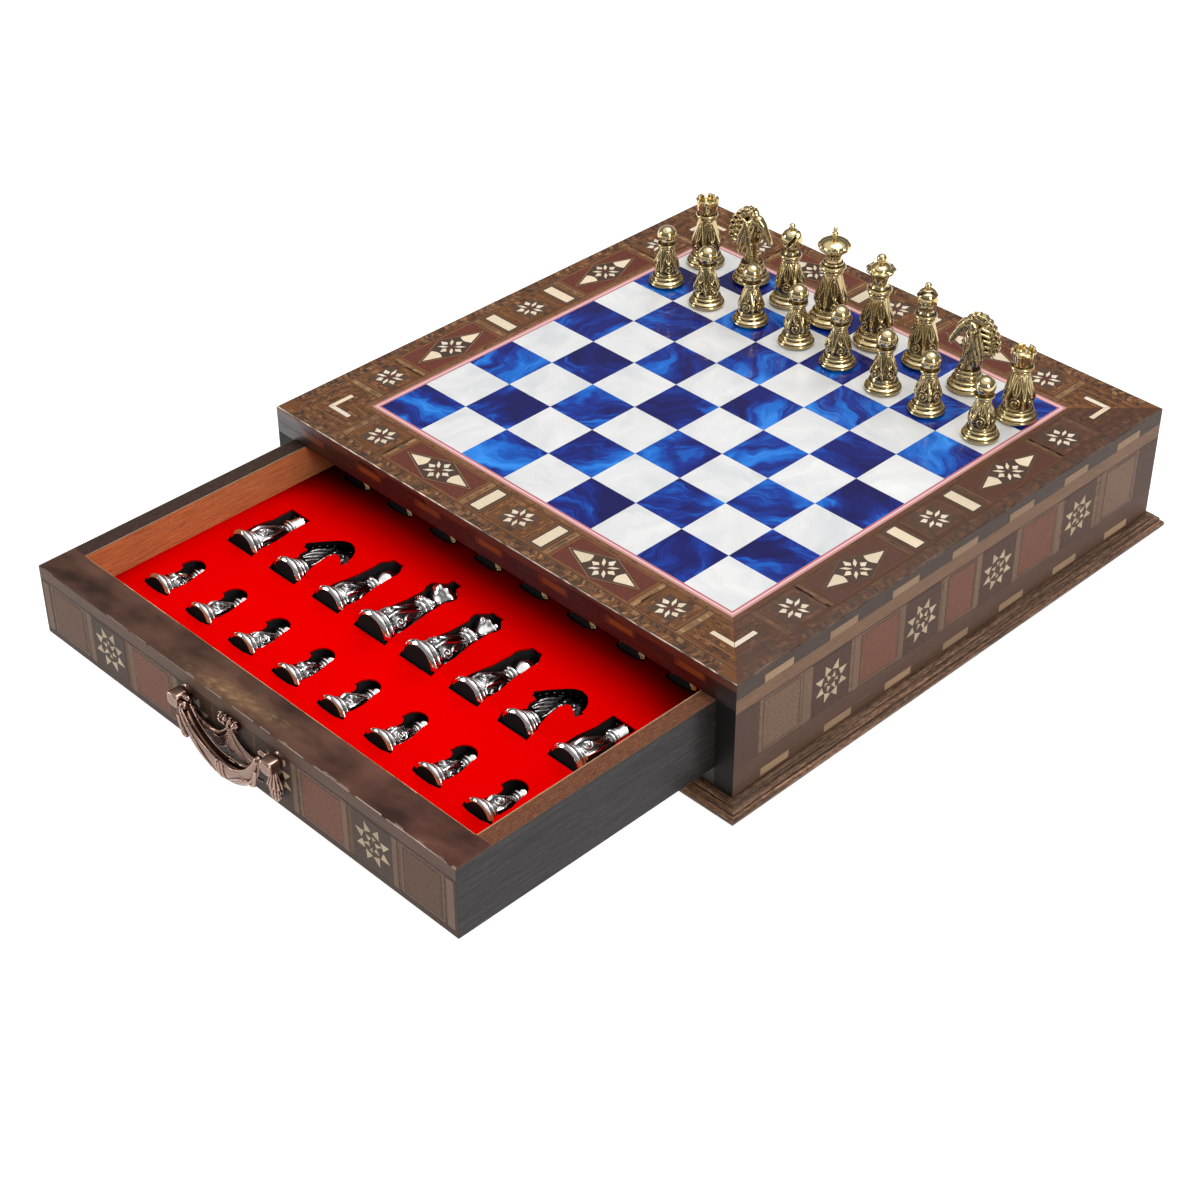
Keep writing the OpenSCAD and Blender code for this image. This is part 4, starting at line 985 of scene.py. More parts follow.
def curve(keys, step=0.35):
    """Smooth line through (r, z) keys; a key given as (r, z, 0) makes a sharp corner."""
    out = []
    run = [keys[0]]
    for key in keys[1:]:
        run.append(key)
        if len(key) > 2 or key is keys[-1]:
            pts = np.array([k[:2] for k in run], float)
            if len(pts) > 2:
                t = np.r_[0, np.cumsum(np.linalg.norm(np.diff(pts, axis=0), axis=1))]
                n = max(2, int(t[-1] / step))
                q = np.linspace(0, t[-1], n)
                slope = np.gradient(pts, t, axis=0)
                i = np.clip(np.searchsorted(t, q, "right") - 1, 0, len(t) - 2)
                h = (t[i + 1] - t[i])[:, None]
                w = ((q - t[i])[:, None]) / h
                p = ((2 * w**3 - 3 * w**2 + 1) * pts[i] + (w**3 - 2 * w**2 + w) * h * slope[i]
                     + (-2 * w**3 + 3 * w**2) * pts[i + 1] + (w**3 - w**2) * h * slope[i + 1])
            else:
                n = max(2, int(np.linalg.norm(pts[1] - pts[0]) / step))
                p = pts[0] + np.linspace(0, 1, n)[:, None] * (pts[1] - pts[0])
            out.extend(p if not out else p[1:])
            run = [key]
    out = np.array(out)
    out[:, 0] = np.maximum(out[:, 0], 0.0)
    return out


def arc(cr, cz, r, a0, a1, n=10):
    a = np.radians(np.linspace(a0, a1, n))
    return [(cr + r * cos(t), cz + r * sin(t)) for t in a]


def foot_keys(f):
    """Foot of a man: bevel, sharp rim, long slope and a ring, up to 0.75 f high."""
    return [(0, 0, 0), (0.84 * f, 0, 0), (0.93 * f, 0.06 * f), (1.0 * f, 0.15 * f), (0.98 * f, 0.22 * f),
            (0.925 * f, 0.255 * f, 0), (0.93 * f, 0.29 * f), (0.80 * f, 0.40 * f), (0.765 * f, 0.46 * f, 0),
            (0.80 * f, 0.49 * f), (0.80 * f, 0.56 * f), (0.74 * f, 0.60 * f, 0), (0.69 * f, 0.64 * f),
            (0.66 * f, 0.72 * f, 0)]


def foot_grooves(f, *more):
    return [0.255 * f, 0.455 * f, 0.62 * f, *more]


def ornament(z0, z1, depth, pitch=1.9):
    """Relief of five arches, each with a scroll and a bud, round a body from z0 to z1."""
    ribs = 5

    def relief(ang, z, r):
        tall = z1 - z0
        t = np.clip((z - z0) / tall, 0, 1)
        gate = np.clip((z - z0) / 0.8, 0, 1) * np.clip((z1 - z) / 0.8, 0, 1)
        phi = (ang / tau * ribs) % 1.0 - 0.5
        wide = tau * r / ribs
        x = phi * wide
        w = 0.47 * np.sqrt(np.clip(1 - t ** 2.2, 0, 1))
        arch = np.exp(-((np.abs(phi) - w) * wide / 0.55) ** 2) * (t < 0.97)
        reach = 0.34 * tau * 8.0 / ribs
        cz = z0 + reach + 0.9
        rho, th = np.hypot(x, z - cz), np.arctan2(z - cz, x)
        turn = (rho / pitch - th / tau) % 1.0 - 0.5
        scroll = np.exp(-(turn / 0.19) ** 2) * (rho < reach)
        up = np.clip((z - cz - reach) / (z1 - cz - reach - 1.0), 0, 1)
        leaf = 0.24 * wide * np.sin(pi * up) * (1 - 0.3 * up)
        bud = np.exp(-((np.abs(x) - leaf) / 0.42) ** 2) * (up > 0)
        stem = np.exp(-(x / 0.36) ** 2) * (up > 0) * (up < 0.85)
        inside = (np.abs(phi) < w) * 1.0
        lines = np.maximum.reduce([arch, scroll, bud * inside, stem * inside])
        wings = np.exp(-((np.abs(phi) - 0.5) / 0.10) ** 2) * np.exp(-((t - 0.30) / 0.16) ** 2)
        flutes = (1 - inside) * 0.4 * np.cos(phi * tau * 2)
        field = 1 - (1 - lines) * (0.75 * inside + 0.15)
        height = 0.5 * lines - 0.75 * inside * (1 - lines) + 0.8 * wings + flutes * 0.3
        return depth * gate * height, 1 - gate * (1 - np.clip(field, 0, 1))
    return relief


def beads(z, r_at, count, lump):
    for i in range(count):
        a = tau * i / count
        lump.ball((r_at * cos(a), r_at * sin(a), z), 0.5, 8, 6)


def pawn_mesh():
    f, l = PAWN_FOOT, Lump()
    keys = foot_keys(f) + [(7.3, 9.2), (7.9, 11.5), (7.5, 14.8), (6.2, 18.8), (4.9, 22.5), (4.1, 25.2, 0),
                           (4.9, 25.5), (5.0, 26.3), (4.5, 26.8, 0), (5.6, 27.1), (6.1, 27.8), (5.9, 28.5),
                           (4.6, 28.9, 0), *arc(0, 33.8, 6.1, -48, 90, 24)]
    l.lathe(curve(keys, 0.3), 126, ornament(8.6, 25.0, 0.6), grooves=foot_grooves(f, 25.2, 26.8, 28.9))
    return l


def rook_mesh():
    f, l = OFFICER_FOOT, Lump()
    keys = foot_keys(f) + [(8.6, 9.8), (9.0, 13), (8.6, 18), (7.3, 23), (5.8, 28.0), (4.9, 31.6, 0),
                           (5.8, 32.0), (6.2, 32.9), (5.6, 33.5, 0), (6.6, 33.9), (7.0, 34.7), (6.6, 35.5),
                           (5.5, 35.9, 0)]
    l.lathe(curve(keys, 0.3), 126, ornament(9.2, 31.2, 0.7), grooves=foot_grooves(f, 31.6, 33.5, 35.9))
    # battlements: the wall's upper part is left out at the notches
    n = 120
    ang = np.linspace(0, tau, n, endpoint=False)
    open_at = (ang / tau * 6) % 1.0 < 0.26
    rows = []
    for r, z in ((5.4, 35.8), (6.0, 36.8), (6.2, 39.0), (6.5, 41.0), (6.9, 43.0), (7.3, 45.2), (7.2, 45.75),
                 (5.9, 45.75), (5.7, 45.2), (5.5, 42.6), (5.2, 40.4), (0.05, 40.2)):
        h = np.where(open_at & (z > 42.4), 42.4, z)
        rows.append(np.stack([r * np.cos(ang), r * np.sin(ang), h], -1))
    l.grid(np.array(rows))
    return l


def bishop_mesh():
    f, l = OFFICER_FOOT, Lump()
    keys = foot_keys(f) + [(8.7, 9.6), (9.0, 12.5), (8.5, 17), (7.2, 22), (5.8, 27), (4.9, 30.0, 0),
                           (5.7, 30.3), (6.0, 31.2), (5.4, 31.9, 0), (6.4, 32.4), (6.9, 33.3), (6.4, 34.2),
                           (5.0, 34.6, 0), (4.1, 36.2), (4.2, 37.6, 0), (5.7, 39.8), (6.7, 42.6), (6.7, 45.2),
                           (5.6, 48.2), (3.0, 50.4), (1.5, 50.9, 0), *arc(0, 52.6, 2.25, -45, 90, 12)]
    orn = ornament(9.2, 29.6, 0.7)

    def relief(ang, z, r):
        more, mark = orn(ang, z, r)
        slot = np.abs((z - 45.4) - 1.1 * r * np.cos(ang)) < 1.7
        cut = slot * (z > 40.0) * (z < 50.2) * (np.cos(ang) > -0.5)
        return more - cut * r * 0.5, mark * (1 - 0.85 * cut)
    l.lathe(curve(keys, 0.28), 126, relief, grooves=foot_grooves(f, 30.0, 31.9, 34.6))
    return l


def crowned(keys, z1, crown_lo, crown_hi, waves, grooves):
    """Body of the queen or the king with a scalloped crown."""
    l = Lump()
    orn = ornament(10.5, z1, 0.75, 2.1)

    def relief(ang, z, r):
        more, mark = orn(ang, z, r)
        crown = np.clip((z - crown_lo) / 2.5, 0, 1) * (z < crown_hi) * (r > 6.0)
        return more + 0.42 * crown * np.cos(waves * ang), mark
    l.lathe(curve(keys, 0.3), 132, relief, grooves=grooves)
    return l


def queen_mesh():
    f = ROYAL_FOOT
    keys = foot_keys(f) + [(9.1, 11), (9.8, 14.5), (9.2, 19.5), (7.3, 25.5), (5.6, 31), (5.1, 33.2, 0),
                           (6.3, 33.6), (6.6, 34.6), (5.9, 35.5, 0), (7.1, 36.1), (7.7, 37.2), (7.1, 38.3),
                           (5.8, 38.9, 0), (4.9, 40.4), (4.7, 43.0), (5.2, 45.5), (6.8, 48.2), (8.9, 50.2, 0),
                           (8.8, 51.2), (8.1, 51.6, 0), (6.6, 51.2), (5.8, 52.6), (4.0, 53.9), (2.2, 54.6, 0),
                           (1.6, 54.9, 0), *arc(0, 57.7, 3.2, -60, 90, 14)]
    l = crowned(keys, 32.8, 46.5, 51.5, 9, foot_grooves(f, 33.2, 35.5, 38.9))
    beads(37.2, 7.5, 22, l)
    return l


def king_mesh():
    f = ROYAL_FOOT
    keys = foot_keys(f) + [(9.1, 11), (9.8, 14.5), (9.2, 19.5), (7.4, 26), (5.8, 32), (5.2, 34.4, 0),
                           (6.4, 34.8), (6.8, 35.8), (6.1, 36.7, 0), (7.4, 37.3), (8.1, 38.5), (7.4, 39.7),
                           (5.8, 40.3, 0), (6.3, 40.8), (6.2, 41.8), (5.2, 42.4, 0), (4.8, 44.6), (5.3, 47.0),
                           (7.6, 49.2), (9.7, 51.4), (9.9, 53.0), (9.0, 54.6), (7.0, 55.9), (4.4, 56.8),
                           (2.0, 57.2, 0), (1.0, 57.6, 0), *arc(0, 59.9, 2.2, -65, 65, 10), (0.9, 62.1, 0),
                           *arc(0, 63.5, 1.5, -60, 90, 10)]
    l = crowned(keys, 34.0, 49.5, 54.4, 10, foot_grooves(f, 34.4, 36.7, 40.3, 42.4))
    beads(38.5, 7.9, 24, l)
    return l


def melt(lump, name, voxel, mat):
    """Fuses the lumps of one casting into a single skin."""
    obj = add_object(name + "_raw", lump.mesh(name + "_raw", [mat], 1.0))
    mod = obj.modifiers.new("fuse", "REMESH")
    mod.mode, mod.voxel_size, mod.use_smooth_shade = "VOXEL", voxel, True
    soft = obj.modifiers.new("soft", "SMOOTH")
    soft.factor, soft.iterations = 0.5, 1
    dg = bpy.context.evaluated_depsgraph_get()
    mesh = bpy.data.meshes.new_from_object(obj.evaluated_get(dg))
    mesh.name = name
    bpy.data.objects.remove(obj)
    for v in mesh.vertices:
        v.co *= MM
    mesh.materials.clear()
    mesh.materials.append(mat)
    mesh.shade_smooth()
    return mesh


def knight_head():
    """Horse head of a knight facing +X, built from flowing lumps."""
    l = Lump()
    neck = [(0.6, 0, 12.5), (-0.6, 0, 17), (-1.6, 0, 22), (-2.4, 0, 28), (-2.2, 0, 34), (-0.8, 0, 39),
            (1.6, 0, 43.0)]
    l.tube(neck, [5.6, 5.0, 4.9, 5.2, 5.3, 4.9, 3.8], 20, 0.92, (0, 1, 0))
    head = [(0.8, 0, 43.6), (3.8, 0, 42.6), (6.8, 0, 39.6), (9.4, 0, 35.4), (11.6, 0, 31.2), (12.8, 0, 28.8)]
    l.tube(head, [3.6, 3.9, 3.2, 2.5, 2.2, 1.7], 18, 1.0, (0, 1, 0))
    l.ball((4.6, 0, 38.6), (2.7, 3.2, 3.4))
    l.ball((12.2, 0, 29.6), (2.1, 2.0, 1.8))
    for s in (-1, 1):
        l.tube([(1.0, s * 2.2, 44.4), (1.6, s * 2.7, 47.0), (0.8, s * 2.2, 49.2)], [1.3, 1.1, 0.3], 10)
        l.ball((5.8, s * 2.7, 41.2), (1.3, 0.9, 0.9))
        l.ball((12.3, s * 1.7, 30.6), (0.8, 0.7, 0.6))
        l.tube([(4.2, s * 2.9, 43.0), (7.2, s * 2.6, 41.0), (10.4, s * 2.0, 35.5)], [0.5, 0.5, 0.3], 8)
        # thick twisted strands down the neck
        for q in range(6):
            x0 = 3.0 - q * 1.75
            path = [(x0 - 0.35 * j - 1.2 * sin(j * 0.85 + 0.9 * q), s * (4.3 + 0.7 * sin(0.8 * j + q)),
                     39.5 - 3.9 * j + q * 0.5) for j in range(7)]
            l.tube(path, [0.5, 0.9, 1.15, 1.2, 1.05, 0.8, 0.3], 10)
    for q in range(3):
        l.tube([(4.6 + 0.8 * q, 1.4 - 1.4 * q, 34 - 2 * q), (3.6, 1.6 - 1.6 * q, 27),
                (4.4, 1.5 - 1.5 * q, 20), (5.0, 1.2 - 1.2 * q, 15)], [0.5, 1.1, 1.2, 0.5], 9)
    # mane: a crest of tight coils from the poll down the back
    line = [(1.0, 48.6), (-2.6, 49.0), (-6.2, 48.0), (-9.4, 45.6), (-12.0, 42.2), (-13.9, 38.2),
            (-15.0, 34.0), (-15.2, 30.0)]
    for q, (cx, cz) in enumerate(line):
        a = radians(95 - 22 * q)
        for s in (-1, 0, 1):
            turns = []
            for j in range(13):
                b = a + j * 0.58
                rad = 2.9 * (1 - j / 15)
                turns.append((cx + rad * cos(b), s * (2.0 - 0.06 * j), cz - 1.6 + rad * sin(b)))
            l.tube(turns, [0.95 - 0.04 * j for j in range(13)], 8, 1.0, (0, 1, 0))
        l.ball((cx * 0.80, 0, cz - 2.4), (3.4, 2.6, 3.2))
    # locks that join the mane to the neck
    for q in range(5):
        z = 43 - 3.6 * q
        for s in (-1, 1):
            l.tube([(-2.5, s * 3.6, z - 2), (-6.0, s * 3.1, z - 0.5), (-10.0 - 0.5 * q, s * 2.2, z - 2.5),
                    (-12.5 - 0.5 * q, s * 1.2, z - 5.5)], [0.7, 1.2, 1.1, 0.4], 9)
    return l


def knight_foot():
    f, l = OFFICER_FOOT, Lump()
    keys = foot_keys(f) + [(8.3, 9.2), (8.0, 10.6), (6.9, 11.8, 0), (7.3, 12.2), (7.2, 13.2), (6.4, 13.9, 0),
                           (0, 14.2)]
    l.lathe(curve(keys, 0.3), 80, grooves=foot_grooves(f, 11.8, 13.9))
    return l


MAKERS = {"pawn": pawn_mesh, "rook": rook_mesh, "bishop": bishop_mesh, "queen": queen_mesh,
          "king": king_mesh, "knight_foot": knight_foot}


def men(metal, cast, tag):
    """Meshes of each kind of man, with black felt under the foot."""
    made = {kind: maker().mesh(f"{kind}_{tag}", [metal, FELT]) for kind, maker in MAKERS.items()}
    for mesh in made.values():
        for p in mesh.polygons:
            if abs(p.normal.z) > 0.9 and p.center.z < 0.0001:
                p.material_index = 1
    made["knight"] = made.pop("knight_foot")
    made["knight_head"] = melt(knight_head(), "knight_head_" + tag, 0.4, cast)
    return made


def stand(file, rank, dx, dy, turn):
    """Where a man stands on the board, dx and dy squares off its own square's middle."""
    x = (file + 0.5 + dx) * SQUARE - BOARD_HALF
    y = (rank + 0.5 + dy) * SQUARE - BOARD_HALF
    return Matrix.Translation((x * MM, y * MM, BOARD_Z * MM)) @ Matrix.Rotation(radians(turn), 4, "Z")


def lie(column, shift, row_y, f, r, r_z, roll):
    """Where a man with foot f lies, its head's rim r at r_z as low as its foot."""
    f_z = 0.25 * f
    tilt = atan((f - r) / (r_z - f_z))
    x = column * PITCH - FIRST_MAN + shift
    y = row_y + f * sin(tilt)
    z = RECESS_Z + 0.25 + f_z * sin(tilt) + f * cos(tilt)
    return (Matrix.Translation((x * MM, y * MM, z * MM)) @ Matrix.Rotation(-QUARTER - tilt, 4, "X")
            @ Matrix.Rotation(radians(roll), 4, "Z"))


# the lining's edges, as outlines (across, along) from the middle of a lying man's foot
PAWN_LIPS = [
    [(-13, -2), (-9.2, 1.0), (-10.4, 3.4), (-7.6, 7.6), (-5.2, 12), (-3.4, 17.5), (-2.8, 21), (-3.6, 23.4),
     (-5.2, 24.8), (-8, 25.6), (-13, 25.6)],
    [(13, 9.2), (8.2, 9.2), (8.6, 6.0), (10.7, 3.2), (11.5, 1.7), (13, 1.7)],
    [(-9.2, 1.0), (-13, -2), (13, -2), (13, 1.7), (11.5, 1.7), (5, 0.1), (-4, 0.2)]]
OFFICER_LIPS = [[(-15, -2), (-10.2, -0.5), (-13.2, 6.0), (-15, 6.0)],
                [(15, -2), (12.2, -0.3), (9.6, 9.4), (15, 9.4)]]
ROYAL_LIPS = [[(-17, -2), (-12.0, -0.5), (-15.0, 6.6), (-17, 6.6)],
              [(17, -2), (14.0, -0.3), (11.0, 10.8), (17, 10.8)]]
KNIGHT_LIPS = [
    [(-24, 22), (-15, 9.0), (-9.6, 8.8), (-9.2, 12.5), (-6.1, 17), (-10, 23.4), (-13.9, 29.4), (-11.6, 32.6),
     (-9.2, 36), (-6.4, 39.6), (-3.0, 43.6), (0.0, 46.2), (4.0, 47.6), (4.0, 53), (-24, 53)],
    [(4.0, 53), (4.0, 47.6), (8.6, 46.6), (12.6, 43.4), (15.2, 39.2), (16.2, 35.0), (22, 35), (22, 53)],
    [(15, 9.4), (9.8, 8.8), (7.8, 12.8), (5.6, 20.6), (4.4, 29.4), (5.6, 33.6), (7.8, 34.8), (12.2, 33.0),
     (17.0, 29.0), (20, 25), (15, 18)]]


def lining_lips():
    """Edges of the lining that hug the lying men."""
    seed(99)
    skin = Skin("lining_lips", "drawer", lambda u, v, h: (u, v, TRAY_Z + h), [LINING])
    for i in range(8):
        x = i * PITCH - FIRST_MAN
        lips = (ROYAL_LIPS if i in (3, 4) else OFFICER_LIPS) + (KNIGHT_LIPS if i in (1, 6) else [])
        for outlines, u, row in ((PAWN_LIPS, x + PAWN_SHIFT, PAWN_ROW), (PAWN_LIPS, x + PAWN_SHIFT, GOLD_ROW),
                                 (lips, x + OFFICER_SHIFT, OFFICER_ROW)):
            for pts in outlines:
                skin.poly([(u + a, row + b) for a, b in pts], 0, (0.7, 0, 0))
    return skin


lining_lips().build()


def put_man(name, made, kind, body, matrix, node):
    place(name, made[kind], body, matrix, node)
    if kind == "knight":
        place(name + "_head", made["knight_head"], body, matrix, node)


gold = men(GOLD, GOLD_CAST, "gold")
for i, (dx, dy) in enumerate(((-0.05, -0.1), (-0.02, -0.134), (-0.04, -0.05), (0, -0.006), (-0.02, -0.04),
                              (0.04, -0.1), (0, -0.12), (0.12, -0.1))):
    put_man(f"gold_pawn_{i}", gold, "pawn", "cabinet", stand(i, 6, dx, dy, 17 * i), "gold_pawns")
for kind, file, dx, dy, turn, node in (
        ("rook", 0, -0.054, -0.054, 15, "gold_rooks"), ("rook", 7, 0.18, -0.214, 40, "gold_rooks"),
        ("knight", 1, -0.03, 0.06, 10, "gold_knights"), ("knight", 6, 0.01, -0.046, 205, "gold_knights"),
        ("bishop", 2, -0.03, -0.05, 45, "gold_bishops"), ("bishop", 5, -0.03, 0.02, -50, "gold_bishops"),
        ("king", 3, -0.071, -0.034, 0, "gold_king"), ("queen", 4, -0.02, -0.031, 0, "gold_queen")):
    put_man(f"{node}_{file}", gold, kind, "cabinet", stand(file, 7, dx, dy, turn), node)

silver = men(SILVER, SHADED_SILVER_CAST, "silver")
for i in range(8):
    for name, metal, row, turn in (("silver_pawn", silver, PAWN_ROW, 25),
                                   ("tray_gold_pawn", gold, GOLD_ROW, 31)):
        put_man(f"{name}_{i}", metal, "pawn", "drawer",
                lie(i, PAWN_SHIFT, row, PAWN_FOOT, 5.7, 34.2, turn * i), name + "s")
for kind, columns, f, r, r_z, roll, node in (
        ("rook", (0, 7), OFFICER_FOOT, 7.2, 45.8, 30, "silver_rooks"),
        ("knight", (1, 6), OFFICER_FOOT, 5.64, 39.6, 0, "silver_knights"),
        ("bishop", (2, 5), OFFICER_FOOT, 6.7, 43.9, 90, "silver_bishops"),
        ("king", (3,), ROYAL_FOOT, 9.5, 51.5, 0, "silver_king"),
        ("queen", (4,), ROYAL_FOOT, 8.8, 49.9, 0, "silver_queen")):
    for column in columns:
        put_man(f"{node}_{column}", silver, kind, "drawer",
                lie(column, OFFICER_SHIFT, OFFICER_ROW, f, r, r_z, roll), node)


# ------------------------------------------------------------------ the handle

def handle_posts():
    l = Lump()
    for s in (-1, 1):
        x = s * POST_AT
        # block with rounded edges, long neck behind it
        ang = np.linspace(0, tau, 32, endpoint=False)
        sq = [np.sign(c) * np.abs(c) ** 0.5 for c in (np.cos(ang), np.sin(ang))]
        rows = []
        for y, k in ((-1.7, 0.3), (-1.7, 0.8), (-2.1, 0.94), (-3.2, 1.0), (-8.9, 1.0), (-9.9, 0.94),
                     (-10.4, 0.8), (-10.5, 0.4), (-10.5, 0.02)):
            rows.append(np.stack([x + 4.5 * k * sq[0], np.full(32, y), 4.1 * k * sq[1]], -1))
        l.grid(np.array(rows), True)
        l.tube([(x, 0, 0), (x, -1.0, 0), (x, -2.2, 0)], [4.8, 3.6, 3.4], 24)
        l.tube([(x - s * 4.0, -5.6, 2.6), (x - s * 8.0, -5.4, 3.0)], [1.7, 1.55], 14)
        l.ball((x - s * 8.0, -5.4, 3.0), (1.5, 1.6, 1.6), 12, 8)
        # flat tassel: collar, flared bell of ribs, waist and tuft
        x = POST_AT - 1.4 if s > 0 else 6.8 - POST_AT
        l.ball((x, -3.4, -4.6), (3.4, 2.9, 1.9), 22, 11)
        body = ((-4, 2.2), (-7, 2.1), (-10, 3.0), (-13.5, 4.4), (-15.8, 4.7), (-17.2, 2.9), (-19.4, 3.4),
                (-22.0, 3.6), (-24.8, 2.0), (-26.6, 0.6))
        ang = np.linspace(0, tau, 28, endpoint=False)
        l.grid(np.array([np.stack([x + r * np.cos(ang), -3.3 + 0.58 * r * np.sin(ang), np.full(28, z)], -1)
                         for z, r in body]), True)
        for j in range(10):
            a = tau * j / 10 + 0.2
            cx, cy = cos(a), 0.6 * sin(a)
            for strand in (
                    ((-6, 2.0, 0.4), (-9, 2.5, 0.6), (-12.5, 4.0, 0.75), (-15.8, 4.9, 0.8),
                     (-16.6, 4.4, 0.4)),
                    ((-17.0, 2.6, 0.4), (-19.6, 3.5, 0.65), (-22.2, 3.5, 0.65), (-25.4, 1.6, 0.3))):
                l.tube([(x + cx * q, -3.3 + cy * q, z) for z, q, r in strand], [r for z, q, r in strand], 8)
    return l


def handle_swag():
    """Crest of four knuckles over a gathered cloth that hangs from post to post."""
    l = Lump()
    for i, x in enumerate((-6.0, -2.2, 1.6, 5.8)):
        top, wide = 7.0 + 0.15 * i, 1.55 if i < 3 else 2.1
        l.tube([(x * 0.8, -1.2, -1.0), (x * 0.95, -2.0, 2.4), (x, -2.6, 4.6), (x, -2.2, top)],
               [1.0, 1.4, wide + 0.25, wide - 0.3], 14)
        l.tube([(x * 0.7, -2.4, -0.6), (x * 0.9, -3.9, 2.0), (x, -4.5, 3.9)], [0.5, 0.7, 0.6], 8)
    l.tube([(-7.4, -1.0, 3.0), (0, -1.2, 3.4), (7.4, -1.0, 3.0)], [1.3, 1.6, 1.3], 12)
    # stacked gathers down the middle
    for i in range(8):
        z, w = 0.6 - 1.55 * i, 3.4 - 0.36 * i
        l.tube([(-w, -1.6, z + 0.9), (-0.5 * w, -2.7, z + 0.2), (0, -3.1, z - 0.3), (0.5 * w, -2.7, z + 0.2),
                (w, -1.6, z + 0.9)], [0.35, 0.6, 0.7, 0.6, 0.35], 8)
    for s in (-1, 1):
        # smooth roll of cloth, from the post down and along
        roll = [(34.0, 0.5), (32.6, -4.0), (29.6, -8.4), (25.0, -10.6), (20.0, -10.9), (15.5, -10.4),
                (11.5, -9.4), (8.0, -7.6), (4.6, -4.6), (2.0, -1.4)]
        l.tube([(s * x, -2.4, z) for x, z in roll], [1.7, 1.9, 2.1, 2.2, 2.1, 1.8, 1.4, 1.1, 0.8, 0.5], 14)
        # folds under it, each ending at the middle
        for q in range(4):
            low, foot = -12.6 - 1.35 * q, -3.2 - 2.6 * q
            x1 = 25.5 - 2.2 * q
            path = curve([(x1, low + 2.2), (x1 - 4, low + 0.2), (0.60 * x1, low - 0.4),
                          (0.38 * x1, low + 0.4), (3.6, (low + foot) / 2 + 0.6), (0.6, foot)], 1.2)
            n = len(path)
            l.tube([(s * x, -2.7, z) for x, z in path],
                   [0.35 + 0.62 * sin(pi * (0.12 + 0.8 * j / (n - 1))) for j in range(n)], 9)
        web = [(26, -12.0), (20, -13.2), (14, -13.6), (9, -12.4), (5, -9.4), (1.5, -5.5)]
        l.tube([(s * x, -1.3, z) for x, z in web], [1.6, 2.6, 3.0, 3.0, 2.8, 2.0], 12, 0.3, (0, 1, 0))
        # loose ends beside the middle
        for x, tip in ((0.8, -18.2), (2.2, -17.0), (3.6, -15.4)):
            l.tube([(s * x * 0.6, -2.8, -9.0), (s * x, -3.0, -13), (s * x * 1.15, -2.6, tip)],
                   [0.5, 0.8, 0.3], 8)
    return l


def handle_bail():
    """Curved grip with a hollow upper side, leaves along its front and a ribbon at the middle."""
    l = Lump()
    half, end, drop, inner_x, inner_drop = 31.4, 33.1, 29.4, 29.3, 18.0
    outer_r = (end * end + drop * drop) / (2 * drop)
    bend = (inner_x * inner_x + inner_drop * inner_drop) / (2 * inner_drop)

    def at(t, w, d):
        """Point at t along the grip, w across it (1 outer, -1 inner) and d to the front. The inner
        edge is an arc of radius bend. The ridges of the first end leaf set that to their own small
        radius, so for what is drawn after them the inner edge runs level, near its lowest point."""
        x = half * sin(t * pi / 2 * 0.985)
        xo, xi = x * end / half, x * inner_x / half
        zo = outer_r - drop - sqrt(max(outer_r * outer_r - xo * xo, 0))
        zi = bend - inner_drop - sqrt(max(bend * bend - xi * xi, 0))
        a = (1 + w) / 2
        return (xo * a + xi * (1 - a), -d, zo * a + zi * (1 - a))

    section = [(-3.1, -0.97), (-2.0, -0.80), (-1.4, -0.45), (0.0, -0.30), (1.5, -0.45), (2.1, -0.80),
               (3.1, -0.99), (3.3, -0.5), (3.1, 0.0), (2.6, 0.5), (1.4, 0.88), (0.0, 0.98), (-1.4, 0.85),
               (-2.5, 0.4), (-3.0, -0.2)]
    cuts = 120
    rows = []
    for i in range(cuts + 1):
        t = -1 + 2 * i / cuts
        rows.append([at(t, w, d * (1 - 0.25 * t ** 6)) for d, w in section])
    l.grid(np.array(rows), True)
    for s in (-1, 1):
        # rims of the hollow
        for d, w in ((2.8, -0.95), (-2.7, -0.95)):
            l.tube([at(s * t, w, d) for t in np.linspace(0.0, 0.97, 34)], 0.62, 8)
        # strands of the leaves, along the front and curling down to the outer edge
        for k in range(7):
            t0 = 0.10 + k * 0.085
            pts = [at(s * (t0 + 0.36 * q), 0.86 - 1.35 * q ** 0.8, 3.3 - 1.3 * (1 - q) ** 2)
                   for q in np.linspace(0, 1, 14) if t0 + 0.36 * q < 0.93]
            n = len(pts)
            if n > 4:
                l.tube(pts, [0.3 + 0.62 * sin(pi * (0.1 + 0.85 * j / (n - 1))) for j in range(n)], 9)
        # broad looped leaf at the end: two oval ridges round ribs
        for size, bend in ((1.0, 1.0), (0.62, 0.7)):
            loop = []
            for j in range(25):
                a = tau * j / 24
                t = 0.80 + 0.155 * size * cos(a)
                loop.append(at(s * t, 0.02 + 0.92 * size * sin(a), 3.5))
            l.tube(loop, bend, 10)
        for w in (-0.3, 0.02, 0.34):
            l.tube([at(s * t, w, 3.6) for t in np.linspace(0.70, 0.92, 8)],
                   [0.3, 0.6, 0.7, 0.7, 0.7, 0.6, 0.5, 0.3], 8)
        l.tube([at(s * t, 0.80, 1.6) for t in np.linspace(0.06, 0.66, 26)], 0.75, 8)
        l.ball((s * 30.6, 0, -0.8), (2.4, 3.1, 2.9), 16, 10)
        l.tube([(s * 30, 0, 0), (s * 36.0, 0, 0)], [1.6, 1.6], 14)
    # ribbon round the middle
    for x in (-2.4, 0.0, 2.4):
        t = x / 48.0
        path = [at(t, w, d * 1.05) for d, w in section[6:]] + [at(t, section[0][1], section[0][0] * 1.05)]
        l.tube(path, 0.8 if x else 1.05, 9, 1.0, (1, 0, 0.01))
    return l


